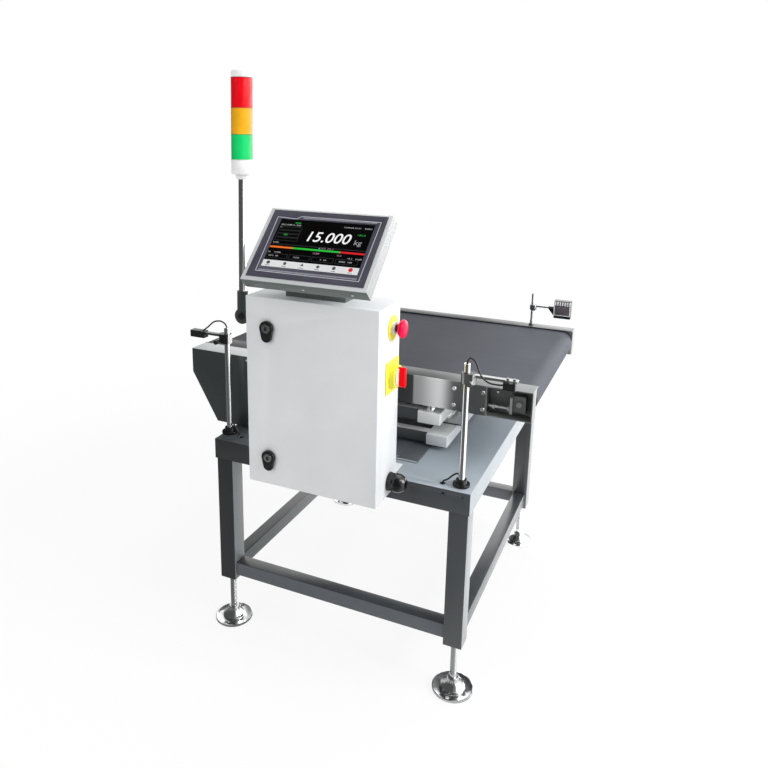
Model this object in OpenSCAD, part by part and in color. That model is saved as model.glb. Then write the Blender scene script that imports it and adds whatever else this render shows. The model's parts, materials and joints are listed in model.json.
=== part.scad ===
// Checkweigher: a weighing belt conveyor on a welded stand, with a control cabinet,
// a tilted touch display, a folding signal tower and three post-mounted sensors.
// X runs along the belt, Y from the cabinet to the rear, Z up. The stand's centre is
// the working centre, and placed() moves the whole to the middle of its own footprint.

/* [Stand] */
// Width of the stand over its legs
stand_w = 663; // [560:1:760]
// Depth of the stand over its legs
stand_d = 751; // [680:1:860]
// Side of the square leg tubes
leg_side = 45; // [40:1:50]
// Wall of the square tubes
tube_wall = 2.5; // [2:0.5:4]
// Height of the leg ends above the floor
leg_low = 130; // [115:1:170]
// Height of the table top above the floor
table_h = 525; // [480:1:560]
// Side of the rail tubes
rail_side = 36; // [30:1:38]
// Height of the lower rails above the leg ends
rail_rise = 13.6; // [5:0.1:40]
// Step from a leg's outer face in to its rails
rail_inset = 5.6; // [2:0.1:7]
// Height of the folded edge of the table cover
skirt_h = 52; // [46:1:70]
// Overhang of the table cover past the legs
cover_over = 3.2; // [3:0.1:8]
// Sheet thickness of the table cover
cover_t = 2.5; // [1.5:0.5:3]

/* [Feet] */
// Diameter of a foot plate
foot_d = 98; // [80:1:110]
// Diameter of a foot's threaded stem
stem_d = 16; // [12:1:20]
// Thickness of a foot plate at its rim
foot_t = 8; // [6:1:12]
// Height of the top of a foot's bell
bell_h = 36; // [28:1:46]
// Length of stem inside a leg
stem_in = 45; // [38:1:60]

/* [Conveyor] */
// Length of the conveyor frame along the belt
conveyor_l = 906; // [860:2:960]
// Width of the conveyor over its side frames
conveyor_w = 635; // [600:1:660]
// Offset of the conveyor's middle from the stand's middle along X
conveyor_x = -30; // [-40:1:-20]
// Distance of the near side frame in front of the stand's middle
conveyor_front = 200; // [190:1:205]
// Length of the studs between the weigh frame and the side frames
stud_l = 16; // [12:1:40]
// Height of a side frame
side_h = 74; // [72:1:84]
// Sheet thickness of the side frames
side_t = 3; // [2:0.5:3]
// Depth of a side frame's channel
channel_d = 37; // [34:1:42]
// Width of the near side frame's top flange
flange_near_w = 58; // [52:1:64]
// Drop from the flange tops to the belt
belt_drop = 5; // [4:0.5:7]
// Thickness of the conveyor belt
belt_t = 2.2; // [1.5:0.1:3]
// Radius over the belt at its end rollers
belt_r = 34; // [31:0.5:34]
// Length of the open tail end past the side cover
tail_open_l = 110; // [100:1:130]

/* [Weigh frame] */
// Width of a lower beam
lower_beam_w = 54.5; // [50:0.5:60]
// Height of a lower beam
lower_beam_h = 28; // [24:1:32]
// Distance from the conveyor's middle to the outer face of a lower beam
lower_beam_out = 252.5; // [248:0.5:258]
// Height of the rubber pads under the lower beams
pad_h = 12; // [10:1:16]
// Width of an upper beam
upper_beam_w = 58.5; // [54:0.5:62]
// Height of an upper beam
upper_beam_h = 31; // [28:1:33]
// Distance from the conveyor's middle to the outer face of an upper beam
upper_beam_out = 232.5; // [228:0.5:236]
// Height of the load cell gap between lower and upper beams
cell_gap = 26; // [24:1:28]
// Diameter of a support stud
stud_d = 23; // [18:1:26]

/* [Belt drive] */
// Distance from the near side frame out to the guard
guard_out = 27; // [22:1:32]
// Depth of the guard
guard_d = 63; // [58:1:70]
// Rise of the guard's top above the side frames
guard_rise = 11; // [8:1:20]
// Clearance under the guard above the table
guard_clear = 5; // [4:1:12]
// Diameter of the gear motor
motor_d = 84; // [70:1:86]
// Length of the gear motor behind its plate
motor_l = 190; // [150:1:230]
// Room between the motor and the ends of the lower beams
motor_free = 40; // [35:1:45]
// Height of the motor shaft above the table
motor_up = 57; // [56:1:62]
// Radius of the timing pulleys
pulley_r = 12.4; // [11:0.1:13]

/* [Cabinet] */
// Width of the cabinet
cabinet_w = 315; // [290:1:340]
// Height of the cabinet
cabinet_h = 434.5; // [400:0.5:470]
// Drop of the cabinet's underside below the table top
cabinet_drop = 19; // [13:1:35]
// Depth of the cabinet body behind its door
cabinet_d = 96.4; // [90:0.1:110]
// Depth of the door
door_d = 19; // [16:0.5:24]
// Sheet thickness of cabinet and door
sheet_t = 1.5; // [1:0.1:2]
// Offset of the cabinet's middle from the stand's middle along X
cabinet_x = 2; // [-5:1:8]
// Distance of a lock from the door's left edge
lock_in = 53.5; // [50:0.5:56]
// Distance of a lock from the door's nearest end
lock_end = 67; // [60:1:90]
// Drop of the emergency stop below the cabinet's top
stop_drop = 51.5; // [40:0.5:62]
// Drop of the main switch below the cabinet's top
switch_drop = 157.5; // [145:0.5:170]
// Height of the cable gland above the cabinet's underside
gland_up = 31; // [29:1:50]
// Distance of the side controls behind the door joint
control_in = 56; // [52:1:58]
// Diameter of the emergency stop's mushroom head
mushroom_d = 40; // [36:1:44]
// Travel of the emergency stop
stop_travel = 5; // [3:0.5:6]

/* [Display] */
// Width of the display housing
display_w = 291; // [270:1:310]
// Height of the display housing along its slope
display_h = 191; // [185:1:205]
// Depth of the display housing
display_d = 30; // [26:1:36]
// Lean of the display back from upright
display_tilt = 44.5; // [40:0.5:50]
// Rise of the housing's low front edge above the cabinet
display_rise = 44.5; // [42:0.5:60]
// Overhang of the housing's low front edge past the door
display_over = 37.9; // [32:0.1:42]
// Margin from the housing's sides to the front panel
bezel_side = 9.7; // [5:0.1:15]
// Margin from the housing's low edge to the front panel
bezel_rise = 9.5; // [4:0.5:14]
// Margin from the housing's high edge to the front panel
bezel_top = 4.5; // [3:0.5:10]
// Width of the picture area
screen_w = 222.7; // [200:0.1:230]
// Height of the picture area
screen_h = 125.3; // [110:0.1:130]

/* [Signal tower] */
// Diameter of the tower pole
pole_d = 16; // [12:1:20]
// Drop of the fold joint below the cabinet's top
fold_drop = 58.5; // [45:0.5:68]
// Distance of the pole's axis from the cabinet's side
tower_out = 33.5; // [30:0.5:40]
// Length of the pole above the fold joint
pole_l = 305; // [260:1:360]
// Lean of the pole to the right
tower_lean = 1.3; // [0:0.1:3]
// Diameter of the lamp stack
lamp_d = 45.5; // [40:0.5:50]
// Height of the lamp stack's base
lamp_base_h = 31; // [24:1:40]
// Height of the green lens
green_h = 52; // [40:1:60]
// Height of the amber lens
amber_h = 54; // [40:1:60]
// Height of the red lens
red_h = 61; // [40:1:66]
// Height of the lamp stack's cap
cap_h = 16; // [10:1:20]

/* [Sensors] */
// Diameter of a sensor post
post_d = 14; // [13:1:16]
// Diameter of the reflector post
far_post_d = 7; // [6:0.5:9]
// Height of the right sensor post above the table
post_right_l = 285; // [275:1:300]
// Height of the left sensor post above the table
post_left_l = 281; // [275:1:300]
// Length of the reflector post above the side frame
post_far_l = 100; // [92:1:110]
// Drop of the right arm below its post's top
arm_right_drop = 25; // [22:1:40]
// Drop of the left arm below its post's top
arm_left_drop = 21; // [19:1:40]
// Length of the right arm past its post
arm_right_l = 85; // [78:1:92]
// Length of the left arm past its post
arm_left_l = 64; // [58:1:72]
// Length of the reflector arm past its post
arm_far_l = 68; // [60:1:76]
// Side of the square reflector housing
reflector_side = 49.5; // [42:0.5:52]

/* [Hidden] */
$fn = 48;
cut = 4;            // overrun of every cut past the face that it opens
fit = 0.1;          // radial clearance of a running or sliding fit
gap = 0.3;          // clearance between moving or wrapped surfaces
hex_share = 1 / cos(30);

// Places that follow from the driving sizes
cover_front = stand_d / 2 + cover_over;
table_under = table_h - cover_t;
leg_x = (stand_w - leg_side) / 2;
leg_y = (stand_d - leg_side) / 2;
conveyor_left = conveyor_x - conveyor_l / 2;
conveyor_right = conveyor_x + conveyor_l / 2;
near_y = -conveyor_front;
far_y = near_y + conveyor_w;
near_web = near_y + channel_d;
cover_sheet = 1.5;
far_web = far_y - channel_d + cover_sheet;
belt_gap = 2;
belt_near = near_y + flange_near_w - belt_gap;
belt_far = far_web - side_t - belt_gap;
belt_inner_r = belt_r - belt_t;
roller_r = belt_inner_r - gap;
drive_x = conveyor_left + belt_r + side_t;
tail_x = conveyor_right - belt_r;
beam_front = near_y;
beam_rear = far_y;
lower_rear = stand_d / 2 - rail_inset;
pad_z = table_h + pad_h;
lower_top = pad_z + lower_beam_h;
upper_low = lower_top + cell_gap;
upper_top = upper_low + upper_beam_h;
side_low = upper_top + stud_l;
conveyor_h = side_low + side_h;
roller_z = conveyor_h - belt_drop - belt_r;
bed_z = conveyor_h - belt_drop - belt_t - gap;
seat_over = 15.5;
motor_x = -(lower_beam_out + seat_over + motor_free + motor_d / 2);
motor_run = motor_x - drive_x;
motor_z = table_h + motor_up;
cabinet_back = -cover_front;
cabinet_low = table_h - cabinet_drop;
joint_y = cabinet_back - cabinet_d;
door_y = joint_y - door_d;
cabinet_left = cabinet_x - cabinet_w / 2;
cabinet_right = cabinet_x + cabinet_w / 2;
cabinet_top = cabinet_low + cabinet_h;
control_y = joint_y + control_in;
lock_x = cabinet_left + lock_in;
display_low = cabinet_top + display_rise;
display_front = display_over - door_y;
lock_top_z = cabinet_top - lock_end;
lock_low_z = cabinet_low + lock_end;
tower_x = cabinet_left - tower_out;
fold_h = cabinet_top - fold_drop;
tower_y = joint_y + 1.2 * door_d;
lamp_z = fold_h + pole_l;

// Sensor posts, and the leads' hand-laid routes from the post's axis and the table top
right_post_in = 27.5;
right_post_back = 29.5;
left_post_in = 8.5;
left_post_back = 45.5;
far_post_in = 130;
far_post_back = 20;
right_post = [stand_w / 2 - right_post_in, -stand_d / 2 + right_post_back];
left_post = [-stand_w / 2 + left_post_in, -stand_d / 2 + left_post_back];
far_post_x = conveyor_right - far_post_in;
far_post_y = far_y - far_post_back;
right_foot_lead = [[-7.3, 0, 26], [-12, 0, 26], [-21, -2, 20], [-30, -5, 11], [-38, -8, 7], [-41, -8, 1],
                   [-41, -8, -2]];
left_foot_lead = [[7.3, 0, 26], [12, 0, 26], [21, -4, 20], [31, -8, 10], [40, -13, 6], [43, -13, 1],
                  [43, -13, -2]];
right_head_lead = [[0, 0, -60], [0, 0, -14], [1, 0, 6], [8, -1, 14], [20, -4, 6], [34, -10, -19],
                   [50, -10, -32], [70, -4, -36], [81, 0, -36]];
left_head_lead = [[0, 0, -60], [0, 0, -14], [1, 0, 3], [8, 0, 12], [22, 0, 15], [40, 0, 10],
                  [56, 0, -4], [72, 0, -16]];
right_grommet = right_post + grommet_place(right_foot_lead);
left_grommet = left_post + grommet_place(left_foot_lead);
function grommet_place(route) = [route[len(route) - 1][0], route[len(route) - 1][1]];

guard_back = conveyor_front + guard_out;
guard_front = guard_back + guard_d;

// The frame's origin: middle of the footprint, on the floor
origin_x = conveyor_x;
origin_y = (far_y - display_front) / 2;

module placed() {
    translate([-origin_x, -origin_y, 0]) children();
}

// General shapes

module block(x0, x1, y0, y1, z0, z1) {
    translate([x0, y0, z0]) cube([x1 - x0, y1 - y0, z1 - z0]);
}

module rod_x(d, x0, x1, y, z) {
    translate([x0, y, z]) rotate([0, 90, 0]) cylinder(h = x1 - x0, d = d);
}

module rod_y(d, x, y0, y1, z) {
    translate([x, y0, z]) rotate([-90, 0, 0]) cylinder(h = y1 - y0, d = d);
}

module rod_z(d, x, y, z0, z1) {
    translate([x, y, z0]) cylinder(h = z1 - z0, d = d);
}

// Flat shape in the XZ plane, extruded from y0 to y1
module plate_y(y0, y1) {
    translate([0, y1, 0]) rotate([90, 0, 0]) linear_extrude(height = y1 - y0) children();
}

module round_rect(w, h, r) {
    square([w - 2 * r, h], center = true);
    square([w, h - 2 * r], center = true);
    for (i = [-1, 1], j = [-1, 1]) translate([i * (w / 2 - r), j * (h / 2 - r)]) circle(r = r);
}

// A strip of width 2r with round ends from point a to point b
module capsule(a, b, r) {
    run = norm(b - a);
    translate(a) circle(r = r, $fn = 72);
    translate(b) circle(r = r, $fn = 72);
    translate(a) rotate(atan2(b[1] - a[1], b[0] - a[0])) translate([0, -r]) square([run, 2 * r]);
}

module hex_y(af, x, y0, y1, z) {
    translate([x, y0, z]) rotate([-90, 0, 0]) cylinder(h = y1 - y0, d = af * hex_share, $fn = 6);
}

module hex_x(af, x0, x1, y, z) {
    translate([x0, y, z]) rotate([0, 90, 0]) cylinder(h = x1 - x0, d = af * hex_share, $fn = 6);
}

// Tube along a hand-laid route: square rings turned to the local direction
function route_dir(p, i) =
    let (a = p[max(i - 1, 0)], b = p[min(i + 1, len(p) - 1)]) (b - a) / norm(b - a);
function route_side(d) =
    let (s = abs(d[1]) < 0.9 ? cross(d, [0, 1, 0]) : cross(d, [1, 0, 0])) s / norm(s);
function bezier(a, b, c, d, t) =
    pow(1 - t, 3) * a + 3 * pow(1 - t, 2) * t * b + 3 * (1 - t) * t * t * c + t * t * t * d;
function curve(p, steps) = [
    for (i = [0 : len(p) - 2], k = [0 : steps - 1])
        let (
            a = p[i], d = p[i + 1],
            ta = i == 0 ? (p[1] - p[0]) / 3 : (p[i + 1] - p[i - 1]) / 6,
            td = i == len(p) - 2 ? (p[i + 1] - p[i]) / 3 : (p[i + 2] - p[i]) / 6
        ) bezier(a, a + ta, d - td, d, k / steps),
    p[len(p) - 1]
];
module lead(route, d) {
    p = curve(route, 3);
    n = len(p);
    sides = 8;
    rings = [for (i = [0 : n - 1])
        let (t = route_dir(p, i), u = route_side(t), v = cross(t, u))
            for (k = [0 : sides - 1])
                p[i] + d / 2 * (cos(360 * k / sides) * u + sin(360 * k / sides) * v)];
    skin = [for (i = [0 : n - 2], k = [0 : sides - 1])
        let (a = i * sides + k, b = i * sides + (k + 1) % sides)
            for (f = [[a, a + sides, b], [b, a + sides, b + sides]]) f];
    first = [for (k = [1 : sides - 2]) [0, k, k + 1]];
    last = [for (k = [1 : sides - 2]) [(n - 1) * sides, (n - 1) * sides + k + 1, (n - 1) * sides + k]];
    polyhedron(points = rings, faces = concat(skin, first, last));
}

// Stand

rail_mid_x = stand_w / 2 - rail_inset - rail_side / 2;
rail_mid_y = stand_d / 2 - rail_inset - rail_side / 2;
rail_low = leg_low + rail_rise;
plug_h = leg_side * 0.5;
nut_af = stem_d * 1.5;
nut_h = stem_d * 0.42;

module square_tube(w, h, l) {
    difference() {
        translate([-w / 2, -h / 2, 0]) cube([w, h, l]);
        translate([-w / 2 + tube_wall, -h / 2 + tube_wall, -cut])
            cube([w - 2 * tube_wall, h - 2 * tube_wall, l + 2 * cut]);
    }
}

module at_corners(x, y) {
    for (i = [-1, 1], j = [-1, 1]) translate([i * x, j * y, 0]) children();
}

module legs() {
    color([0.28, 0.31, 0.33]) placed() at_corners(leg_x, leg_y)
        translate([0, 0, leg_low]) square_tube(leg_side, leg_side, table_under - leg_low);
}

module rail_ring(z) {
    for (j = [-1, 1]) translate([-stand_w / 2 + leg_side, j * rail_mid_y, z + rail_side / 2])
        rotate([0, 90, 0]) square_tube(rail_side, rail_side, stand_w - 2 * leg_side);
    for (i = [-1, 1]) translate([i * rail_mid_x, stand_d / 2 - leg_side, z + rail_side / 2])
        rotate([90, 0, 0]) square_tube(rail_side, rail_side, stand_d - 2 * leg_side);
}

module frame_rails() {
    color([0.28, 0.31, 0.33]) placed() {
        rail_ring(rail_low);
        rail_ring(table_under - rail_side);
    }
}

grommet_d = 14;
skirt_hole_d = 7;
skirt_hole_in = 14.5;
skirt_hole_pitch = 45;
skirt_hole_drop = 11.6;

module table_cover() {
    color([0.36, 0.39, 0.42]) placed() difference() {
        w = stand_w / 2 + cover_over;
        block(-w, w, -cover_front, cover_front, table_h - skirt_h, table_h);
        block(-w + cover_t, w - cover_t, -cover_front + cover_t, cover_front - cover_t,
              table_h - skirt_h - cut, table_under);
        for (p = [right_grommet, left_grommet])
            rod_z(grommet_d, p[0], p[1], table_under - cut, table_h + cut);
        for (k = [0, 1])
            rod_y(skirt_hole_d, stand_w / 2 - skirt_hole_in - k * skirt_hole_pitch, -cover_front - cut,
                  -cover_front + cover_t + cut, table_h - skirt_hole_drop);
    }
}

module leg_inserts() {
    plug = leg_side - 2 * tube_wall - 2 * fit;
    color([0.72, 0.73, 0.75]) placed() at_corners(leg_x, leg_y) {
        difference() {
            translate([-plug / 2, -plug / 2, leg_low]) cube([plug, plug, plug_h]);
            rod_z(stem_d + 2 * fit, 0, 0, leg_low - cut, leg_low + plug_h + cut);
        }
        difference() {
            translate([0, 0, leg_low - nut_h]) cylinder(h = nut_h, d = nut_af * hex_share, $fn = 6);
            rod_z(stem_d + 2 * fit, 0, 0, leg_low - nut_h - cut, leg_low + cut);
        }
    }
}

// Feet: a turned plate with a bell, and a threaded stem seated in it

foot_hole_d = foot_d * 0.1;
foot_hole_r = foot_d * 0.395;
foot_rim = foot_d * 0.03;
bell_low_r = foot_d * 0.29;
bell_top_r = stem_d * 0.78;
stem_seat = foot_t * 1.25;

module foot() {
    r = foot_d / 2;
    difference() {
        rotate_extrude($fn = 96) polygon([
            [0, 0], [r - foot_rim, 0], [r, foot_rim], [r, foot_t], [r - foot_rim, foot_t],
            [r - 2 * foot_rim, foot_t * 0.75], [bell_low_r, foot_t * 0.75], [bell_low_r, foot_t * 1.5],
            [bell_low_r * 0.9, foot_t * 1.75], [bell_top_r * 1.25, bell_h * 0.72], [bell_top_r, bell_h],
            [0, bell_h]
        ]);
        rod_z(stem_d + 2 * fit, 0, 0, stem_seat, bell_h + cut);
        for (a = [90, 270]) rotate(a) rod_z(foot_hole_d, foot_hole_r, 0, -cut, foot_t + cut);
    }
    rod_z(stem_d, 0, 0, stem_seat, leg_low + stem_in);
}

module foot_at(i, j) {
    color([0.76, 0.77, 0.79]) placed() translate([i * leg_x, j * leg_y, 0]) foot();
}
module foot_front_left() { foot_at(-1, -1); }
module foot_front_right() { foot_at(1, -1); }
module foot_rear_left() { foot_at(-1, 1); }
module foot_rear_right() { foot_at(1, 1); }

// Weigh frame: base plate, pads, lower beams, load cells, upper beams and studs

plate_t = 5;
plate_half_w = 207;
plate_step = 2;
plate_front = guard_front - plate_step;
plate_rear = 300;
plate_screw_d = 6;
pad_w = 30;
pad_l = 46;
cross_w = 26;
cross_in = 10;
seat_t = 4;
seat_l = 34;
seat_in = 83;
cell_w = 26;
cell_l = 110;
cell_step = 3;
cell_end = 32;
cell_hole_d = 9;
beam_wall = 3;

function lower_mid() = lower_beam_out - lower_beam_w / 2;
function upper_mid() = upper_beam_out - upper_beam_w / 2;
function cell_x() = (lower_beam_out - lower_beam_w + upper_beam_out) / 2;

module mirrored_x() {
    for (i = [-1, 1]) translate([conveyor_x, 0, 0]) scale_side(i) children();
}
module scale_side(i) {
    if (i < 0) mirror([1, 0, 0]) children();
    else children();
}

module scale_base_plate() {
    color([0.36, 0.38, 0.40]) placed() difference() {
        union() {
            block(conveyor_x - plate_half_w, conveyor_x + plate_half_w, -plate_front + plate_t / 2,
                  plate_rear, table_h, table_h + plate_t);
            rod_x(plate_t, conveyor_x - plate_half_w, conveyor_x + plate_half_w,
                  -plate_front + plate_t / 2, table_h + plate_t / 2);
        }
        for (k = [-1.5 : 1 : 1.5]) rod_z(plate_screw_d, conveyor_x + k * plate_half_w / 2,
            -plate_front + 2 * plate_t, table_h + plate_t / 2, table_h + plate_t + cut);
    }
}

module beam_pads() {
    color([0.10, 0.10, 0.11]) placed() mirrored_x()
        for (y = [beam_front + pad_l, lower_rear - pad_l])
            block(lower_mid() - pad_w / 2, lower_mid() + pad_w / 2, y - pad_l / 2, y + pad_l / 2,
                  table_h, pad_z);
}

// One hollow beam, closed at its front end
module beam(x0, x1, y0, y1, z0, z1) {
    difference() {
        block(x0, x1, y0, y1, z0, z1);
        block(x0 + beam_wall, x1 - beam_wall, y0 + beam_wall, y1 + cut, z0 + beam_wall, z1 - beam_wall);
    }
}

module cross_bars(half, rear, z0, z1) {
    for (y = [beam_front + cross_in, rear - cross_in - cross_w])
        block(conveyor_x - half, conveyor_x + half, y, y + cross_w, z0, z1);
}

module lower_frame() {
    color([0.62, 0.64, 0.66]) placed() {
        mirrored_x() {
            beam(lower_beam_out - lower_beam_w, lower_beam_out, beam_front, lower_rear, pad_z, lower_top);
            for (y = [beam_front + seat_in, lower_rear - seat_in - seat_l])
                block(lower_beam_out - lower_beam_w, lower_beam_out + seat_over, y, y + seat_l,
                      lower_top, lower_top + seat_t);
        }
        cross_bars(lower_beam_out - lower_beam_w, lower_rear, pad_z, lower_top);
    }
}

module load_cell() {
    z0 = lower_top + seat_t;
    w = cell_w / 2;
    difference() {
        union() {
            block(-w, w, 0, cell_l, z0 + cell_step, upper_low - cell_step);
            block(-w, w, 0, cell_end, z0, z0 + cell_step);
            block(-w, w, cell_l - cell_end, cell_l, upper_low - cell_step, upper_low);
        }
        rod_x(cell_hole_d, -cell_w, cell_w, cell_l / 2, (z0 + upper_low) / 2);
    }
}

module load_cells() {
    color([0.78, 0.79, 0.80]) placed() mirrored_x() {
        translate([cell_x(), beam_front + seat_in + gap, 0]) load_cell();
        translate([cell_x(), lower_rear - seat_in - gap, 0]) mirror([0, 1, 0]) load_cell();
    }
}

module upper_frame() {
    color([0.90, 0.91, 0.92]) placed() {
        mirrored_x() beam(upper_beam_out - upper_beam_w, upper_beam_out, beam_front, beam_rear,
                          upper_low, upper_top);
        cross_bars(upper_beam_out - upper_beam_w, beam_rear, upper_low, upper_top);
    }
}

module support_studs() {
    y_rear = far_y - channel_d / 2;
    color([0.80, 0.81, 0.83]) placed() mirrored_x()
        for (y = [near_y + stud_d * 0.56, y_rear]) {
            rod_z(stud_d, upper_mid(), y, upper_top, upper_top + stud_l * 0.7);
            rod_z(stud_d * 0.8, upper_mid(), y, upper_top + stud_l * 0.7, side_low);
        }
}

// Conveyor: side frames, bed, belt and rollers

shaft_d = 20;
journal_d = 12;
shaft_clear = 4;
tail_shaft_d = 15;
bearing_d = 52;
bearing_w = 20;
slack = 10;
lug_t = 4;
web_hole_d = 26;
lug_x = conveyor_right - tail_open_l;

// Channel with its web at y = 0 and its flanges towards -Y; wide is the top flange's reach inwards
module side_channel(wide) {
    depth = channel_d - cover_sheet;
    difference() {
        union() {
            block(conveyor_left, conveyor_right, 0, side_t, side_low, conveyor_h);
            block(conveyor_left, conveyor_right, -depth, wide, conveyor_h - side_t, conveyor_h);
            block(conveyor_left, conveyor_right, -depth, side_t, side_low, side_low + side_t);
            block(conveyor_right - side_t, conveyor_right, -depth, side_t, side_low, conveyor_h);
            difference() {
                block(lug_x - lug_t / 2, lug_x + lug_t / 2, -depth, 0, side_low + side_t,
                      conveyor_h - side_t);
                rod_x(take_up_d + 2 * gap, lug_x - lug_t, lug_x + lug_t, -take_up_y, take_up_z);
            }
        }
        rod_y(web_hole_d, drive_x, -cut, side_t + cut, roller_z);
        plate_y(-cut, side_t + cut)
            capsule([tail_x - slack, roller_z], [tail_x, roller_z], tail_shaft_d / 2 + fit);
    }
}

module conveyor_side_near() {
    color([0.38, 0.40, 0.41]) placed() translate([0, near_web, 0])
        side_channel(flange_near_w - channel_d);
}

module conveyor_side_far() {
    color([0.38, 0.40, 0.41]) placed() translate([0, far_web, 0]) mirror([0, 1, 0])
        side_channel(side_t + 2 * belt_gap);
}

module side_cover() {
    color([0.40, 0.41, 0.42]) placed() difference() {
        block(conveyor_left, lug_x, near_y, near_y + cover_sheet, side_low, conveyor_h);
        rod_y(journal_d + 2 * shaft_clear, drive_x, near_y - cut, near_y + cut, roller_z);
    }
}

bed_t = 2;
bed_end = 8;
bar_w = 40;
bar_h = 38;
bar_x_shares = [-0.3, 0, 0.3];

module belt_bed() {
    y0 = near_web + side_t;
    y1 = far_web - side_t;
    x0 = drive_x + belt_r + bed_end;
    x1 = tail_x - slack - belt_r - bed_end;
    color([0.66, 0.68, 0.70]) placed() union() {
        block(x0, x1, y0, y1, bed_z - bed_t, bed_z);
        for (s = bar_x_shares) {
            m = conveyor_x + s * conveyor_l;
            difference() {
                block(m - bar_w / 2, m + bar_w / 2, y0, y1, bed_z - bar_h, bed_z - bed_t);
                block(m - bar_w / 2 + bed_t, m + bar_w / 2 - bed_t, y0 - cut, y1 + cut,
                      bed_z - bar_h + bed_t, bed_z - bed_t);
            }
        }
    }
}

module conveyor_belt() {
    color([0.33, 0.34, 0.36]) placed() plate_y(belt_near, belt_far) difference() {
        capsule([drive_x, roller_z], [tail_x, roller_z], belt_r);
        capsule([drive_x, roller_z], [tail_x, roller_z], belt_inner_r);
    }
}

pulley_w = 18;
pulley_in = 10;
pulley_y = -guard_front + pulley_in;
pulley_rim = 2;
pulley_lip = 1.5;
timing_t = 2.3;

module timing_pulley(x, z) {
    rod_y(2 * pulley_r, x, pulley_y, pulley_y + pulley_w, z);
    for (y = [pulley_y - pulley_rim / 2, pulley_y + pulley_w - pulley_rim / 2])
        rod_y(2 * (pulley_r + pulley_lip), x, y, y + pulley_rim / 2, z);
}

roller_side = 4;
roller_wall = 4;
roller_plug = 12;

module hollow_roller(x, y0, y1) {
    difference() {
        rod_y(2 * roller_r, x, y0, y1, roller_z);
        rod_y(2 * (roller_r - roller_wall), x, y0 + roller_plug, y1 - roller_plug, roller_z);
    }
}

module drive_roller() {
    color([0.74, 0.75, 0.77]) placed() union() {
        hollow_roller(drive_x, belt_near + roller_side, belt_far - roller_side);
        rod_y(shaft_d, drive_x, near_web - bearing_w, far_web + bearing_w, roller_z);
        rod_y(journal_d, drive_x, pulley_y - pulley_rim, near_web - bearing_w, roller_z);
        timing_pulley(drive_x, roller_z);
    }
}

block_w = 30;
block_h = 40;
block_d = 20;
bar_t = 6;
take_up_d = 8;
take_up_y = 18;
take_up_drop = 14;
take_up_z = roller_z - take_up_drop;
take_up_nut_af = take_up_d * 1.6;

module tail_roller() {
    color([0.74, 0.75, 0.77]) placed() union() {
        hollow_roller(tail_x, belt_near + roller_side, belt_far - roller_side);
        rod_y(tail_shaft_d, tail_x, near_web - block_d - bar_t / 2, far_web + block_d + bar_t / 2, roller_z);
    }
}

// Bearing block, pull bar, screw and nuts of the belt tensioner on a web at y = 0
module take_up() {
    bar_x = tail_x - block_w / 2;
    difference() {
        union() {
            block(bar_x, tail_x + block_w / 2, -block_d, -gap, roller_z - block_h / 2,
                  roller_z + block_h / 2);
            block(bar_x - bar_t, bar_x, -block_d - bar_t, -gap, roller_z - block_h * 0.62,
                  roller_z + block_h * 0.42);
        }
        rod_y(tail_shaft_d + 2 * fit, tail_x, -block_d - cut, cut, roller_z);
    }
    rod_x(take_up_d, lug_x - 2 * lug_t, bar_x - bar_t, -take_up_y, take_up_z);
    for (x = [lug_x + lug_t / 2 + slack + gap, bar_x - bar_t - take_up_d * 0.8 - gap])
        difference() {
            hex_x(take_up_nut_af, x, x + take_up_d * 0.8, -take_up_y, take_up_z);
            rod_x(take_up_d + 2 * fit, x - cut, x + take_up_d + cut, -take_up_y, take_up_z);
        }
}

module take_up_blocks() {
    color([0.74, 0.75, 0.76]) placed() {
        translate([0, near_web, 0]) take_up();
        translate([0, far_web, 0]) mirror([0, 1, 0]) take_up();
    }
}

module drive_bearings() {
    color([0.50, 0.52, 0.54]) placed() for (y = [near_web - bearing_w, far_web]) difference() {
        union() {
            rod_y(bearing_d, drive_x, y, y + bearing_w, roller_z);
            flange_y = y < 0 ? near_web - bearing_w * 0.4 : far_web;
            plate_y(flange_y, flange_y + bearing_w * 0.4) translate([drive_x, roller_z])
                square([bearing_d, bearing_d], center = true);
        }
        rod_y(shaft_d + 2 * fit, drive_x, y - cut, y + bearing_w + cut, roller_z);
    }
}

// Belt drive: sheet guard, gear motor on its plate, pulley and timing belt

guard_t = 1.5;
guard_left = drive_x - pulley_r - timing_t - 2 * guard_t - gap;
guard_right = motor_x + motor_d * 0.8;
guard_z0 = table_h + guard_clear;
guard_z1 = conveyor_h + guard_rise;
guard_knee_z = roller_z - pulley_r - timing_t;
guard_toe_x = guard_left + motor_run * 0.78;
motor_plate_t = 4;
motor_shaft_d = 12;
motor_boss_d = 40;
plate_edge = 4;

module guard_outline(inset) {
    polygon([
        [guard_left + inset, guard_z1 - inset], [guard_left + inset, guard_knee_z + inset / 4],
        [guard_toe_x + inset * 0.6, guard_z0 + inset], [guard_right - inset, guard_z0 + inset],
        [guard_right - inset, guard_z1 - inset]
    ]);
}

module drive_guard() {
    color([0.19, 0.20, 0.21]) placed() difference() {
        plate_y(-guard_front, -guard_back - motor_plate_t) guard_outline(0);
        plate_y(-guard_front + guard_t, -guard_back) guard_outline(guard_t);
    }
}

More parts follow.
